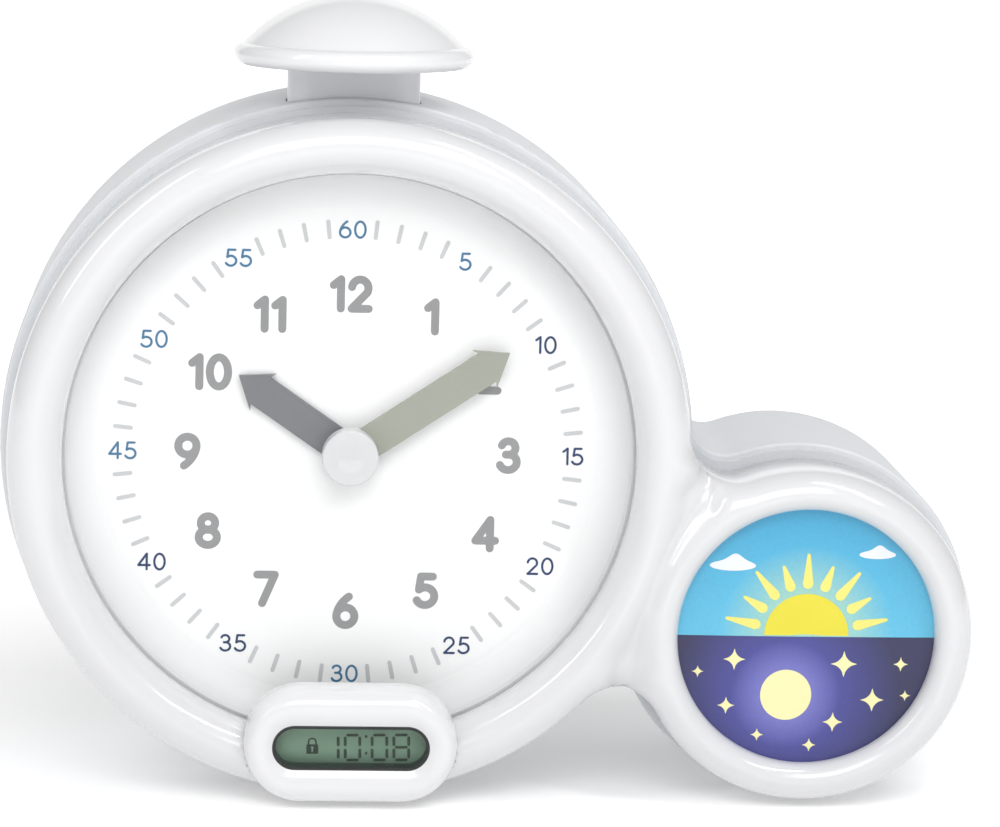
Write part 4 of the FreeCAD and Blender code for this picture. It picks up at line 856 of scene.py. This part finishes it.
def disc_mesh():
    """The film's own gentle dome with its rim, turned about the disc's centre."""
    m = Mesh()
    prof = [(28.05 * k / 12, film_y(28.05 * k / 12, 0.0)) for k in range(1, 13)]
    prof += [(28.9, -4.53), (29.15, -4.35), (29.15, -3.4), (28.95, -3.22)]
    n = 96
    verts = [(SMALL_X, film_y(0, 0), SMALL_Z)]
    for r, y in prof:
        verts += [(SMALL_X + r * math.cos(2 * math.pi * k / n), y, SMALL_Z + r * math.sin(2 * math.pi * k / n)) for k in range(n)]
    faces = [(0, 1 + k, 1 + (k + 1) % n) for k in range(n)]
    for i in range(len(prof) - 1):
        a, b = 1 + i * n, 1 + (i + 1) * n
        faces += [(a + k, b + k, b + (k + 1) % n, a + (k + 1) % n) for k in range(n)]
    last = 1 + (len(prof) - 1) * n
    verts.append((SMALL_X, -3.22, SMALL_Z))
    faces += [(last + k, len(verts) - 1, last + (k + 1) % n) for k in range(n)]
    m.add(verts, faces)
    return m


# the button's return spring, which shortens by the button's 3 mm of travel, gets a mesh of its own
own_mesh(NODES["snooze_spring"])
disc = disc_mesh().build("picture_disc_skin", PICTURE, "picture_film", sharp=40)
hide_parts("picture_disc")


def patch(mesh, centre, outline_pts, lift=0.05, rings=4):
    """A thin printed shape that follows the disc's gentle dome; outline_pts are from the disc's centre."""
    n = len(outline_pts)
    front = [(centre[0], centre[1])]
    for k in range(1, rings + 1):
        t = k / rings
        front += [(centre[0] + (x - centre[0]) * t, centre[1] + (z - centre[1]) * t) for x, z in outline_pts]
    verts = [(x + SMALL_X, film_y(x, z) - lift, z + SMALL_Z) for x, z in front]
    back = [(x + SMALL_X, film_y(x, z) + 0.02, z + SMALL_Z) for x, z in outline_pts]
    faces = [(0, 1 + i, 1 + (i + 1) % n) for i in range(n)]
    for k in range(rings - 1):
        a, b = 1 + k * n, 1 + (k + 1) * n
        faces += [(a + i, b + i, b + (i + 1) % n, a + (i + 1) % n) for i in range(n)]
    base = len(verts)
    a = 1 + (rings - 1) * n
    faces += [(a + i, base + i, base + (i + 1) % n, a + (i + 1) % n) for i in range(n)]
    faces.append(tuple(base + i for i in range(n - 1, -1, -1)))
    mesh.add(verts + back, faces)


def circle_pts(cx, cz, r, n=48, a0=0.0, a1=360.0):
    full = abs(a1 - a0) >= 360
    return [(cx + r * math.cos(math.radians(a0 + (a1 - a0) * k / n)), cz + r * math.sin(math.radians(a0 + (a1 - a0) * k / n))) for k in range(n if full else n + 1)]


sun, rays, moon, sparks, clouds = Mesh(), Mesh(), Mesh(), Mesh(), Mesh()
patch(sun, (0.0, 3.2), circle_pts(0.0, 0.25, 9.2, 40, 0, 180), rings=5)
for k in range(9):
    a = math.radians(12 + 19.5 * k)
    ln = 6.4 if k % 2 == 0 else 4.6
    r0, r1 = 11.4, 11.4 + ln
    w0, w1 = 1.15, 0.35
    c, s = math.cos(a), math.sin(a)
    tip = [(r1 * c + w1 * (math.cos(a + t)), r1 * s + w1 * math.sin(a + t)) for t in (math.pi / 2, math.pi / 4, 0, -math.pi / 4, -math.pi / 2)]
    root = [(r0 * c + w0 * math.cos(a - math.pi / 2 - t), r0 * s + w0 * math.sin(a - math.pi / 2 - t) + 0.25) for t in (0, math.pi / 4, math.pi / 2, 3 * math.pi / 4, math.pi)]
    patch(rays, ((r0 + r1) / 2 * c, (r0 + r1) / 2 * s + 0.2), [(x, z + 0.2) for x, z in tip] + root, rings=2)
patch(moon, (-4.0, -13.0), circle_pts(-4.0, -13.0, 5.6, 48), rings=4)


def spark(mesh, cx, cz, r):
    pts = []
    for k in range(32):
        a = 2 * math.pi * k / 32
        # a four-pointed sparkle with hollow sides
        q = (abs(math.cos(a)) ** 0.62 + abs(math.sin(a)) ** 0.62) ** (-1 / 0.62)
        pts.append((cx + r * q * math.cos(a), cz + r * q * math.sin(a)))
    patch(mesh, (cx, cz), pts, rings=2)


for cx, cz, r in ((8.5, -6.0, 2.9), (-15.5, -5.2, 2.4), (15.0, -14.0, 2.6), (-17.0, -15.5, 1.9), (6.5, -19.0, 2.2), (21.0, -6.0, 1.6), (1.5, -24.2, 1.5), (-10.0, -22.0, 1.4), (22.2, -13.0, 1.2), (-23.4, -8.0, 1.3)):
    spark(sparks, cx, cz, r)
for cx, cz, k in ((-16.5, 15.5, 1.0), (15.0, 18.2, 0.8)):
    # a low lens-shaped cloud drawn as one rounded bar with a swell on it
    pts = []
    for i in range(60):
        a = 2 * math.pi * i / 60
        x = 5.0 * math.cos(a)
        z = 1.15 * math.sin(a) + (1.5 * math.exp(-((x - 0.6) / 1.9) ** 2) if math.sin(a) > 0 else 0.0) * max(0.0, math.sin(a)) ** 0.35
        pts.append((cx + k * x, cz + k * z))
    patch(clouds, (cx, cz), pts, rings=3)
sun.build("print_sun", SUN, "picture_film", sharp=40)
rays.build("print_rays", RAY, "picture_film", sharp=40)
moon.build("print_moon", CREAM, "picture_film", sharp=40)
sparks.build("print_sparkles", CREAM, "picture_film", sharp=40)
clouds.build("print_clouds", CLOUD, "picture_film", sharp=40)


# ------------------------------------------------------------------ stage, light, camera
def floor():
    me = bpy.data.meshes.new("floor")
    n = 4.0
    me.from_pydata([(-n, -n, 0), (n, -n, 0), (n, n, 0), (-n, n, 0)], [], [(0, 1, 2, 3)])
    m, nt, bsdf = tree("floor_paper")
    vec = coords(nt, 1.0)
    nt.links.new(mixc(nt, remap(nt, noise(nt, vec, 6.0), 0.0, 1.0), (0.87, 0.87, 0.87), (0.89, 0.89, 0.89)), bsdf.inputs["Base Color"])
    bsdf.inputs["Roughness"].default_value = 0.9
    bsdf.inputs["Specular IOR Level"].default_value = 0.1
    bsdf.inputs["Emission Color"].default_value = (1.0, 1.0, 1.0, 1.0)
    # painted light: the paper glows more strongly away from the clock, so the far floor turns white; near the clock the
    # glow is faint and the lamps give the shading
    glow_distance = nt.nodes.new("ShaderNodeVectorMath")
    glow_distance.operation = "LENGTH"
    nt.links.new(vec, glow_distance.inputs[0])
    nt.links.new(remap(nt, glow_distance.outputs["Value"], 0.22, 0.75, 0.03, 0.75), bsdf.inputs["Emission Strength"])
    me.materials.append(m)
    ob = bpy.data.objects.new("floor", me)
    bpy.context.scene.collection.objects.link(ob)
    return ob


floor()

world = bpy.data.worlds.new("studio")
bpy.context.scene.world = world
world.use_nodes = True
wt = world.node_tree
bg = wt.nodes["Background"]
# a bright wall behind, a softly lit room in front, dimmer to the sides
wc = wt.nodes.new("ShaderNodeTexCoord")
ws = wt.nodes.new("ShaderNodeSeparateXYZ")
wt.links.new(wc.outputs["Generated"], ws.inputs[0])
ramp = wt.nodes.new("ShaderNodeValToRGB")
wt.links.new(remap(wt, ws.outputs["Y"], 0.0, 1.0, -1.0, 1.0), ramp.inputs["Fac"])
cr = ramp.color_ramp
cr.interpolation = "EASE"
stops = ((0.0, 0.66), (0.28, 0.54), (0.44, 0.30), (0.60, 0.28), (0.88, 0.40), (0.94, 1.0), (1.0, 1.0))
while len(cr.elements) < len(stops):
    cr.elements.new(0.5)
for e, (pos, v) in zip(cr.elements, stops):
    e.position = pos
    e.color = (v, v, v * 1.004, 1.0)
wm = wt.nodes.new("ShaderNodeMath")
wm.operation = "MULTIPLY"
wm.inputs[1].default_value = 1.12
wt.links.new(remap(wt, ws.outputs["Z"], 0.82, 1.18, -1.0, 1.0), wm.inputs[0])
wt.links.new(ramp.outputs["Color"], bg.inputs["Color"])
wt.links.new(wm.outputs[0], bg.inputs["Strength"])


def area(name, at, look, size, power, shape="RECTANGLE", colour=(1, 1, 1)):
    """An area light; places are in working millimetres."""
    L = bpy.data.lights.new(name, "AREA")
    L.shape = shape
    L.size, L.size_y = size[0] / 1000, size[1] / 1000
    L.energy = power
    L.color = colour
    ob = bpy.data.objects.new(name, L)
    bpy.context.scene.collection.objects.link(ob)
    a, b = Vector(to_world(at)), Vector(to_world(look))
    ob.location = a
    ob.rotation_mode = "QUATERNION"
    ob.rotation_quaternion = (b - a).to_track_quat("-Z", "Y")
    return ob


area("key", (40, -700, 560), (20, 0, 0), (560, 420), 2.7)
area("strip_right", (330, -260, 520), (60, 0, 20), (40, 420), 1.3)
area("strip_left", (-420, -240, 360), (0, 0, 20), (30, 380), 0.5)

cam = bpy.data.cameras.new("camera")
cam.sensor_width = 36.0
cam.lens = F_PX * 36.0 / 1000.0
cam.clip_start, cam.clip_end = 0.02, 50.0
cam_ob = bpy.data.objects.new("camera", cam)
bpy.context.scene.collection.objects.link(cam_ob)
M = Matrix(((r2[0], u2[0], -fwd[0]), (r2[1], u2[1], -fwd[1]), (r2[2], u2[2], -fwd[2])))
cam_ob.matrix_world = Matrix.Translation(Vector(to_world(CAM))) @ M.to_4x4()
bpy.context.scene.camera = cam_ob
bpy.context.scene.view_settings.view_transform = "Standard"
bpy.context.scene.view_settings.look = "None"
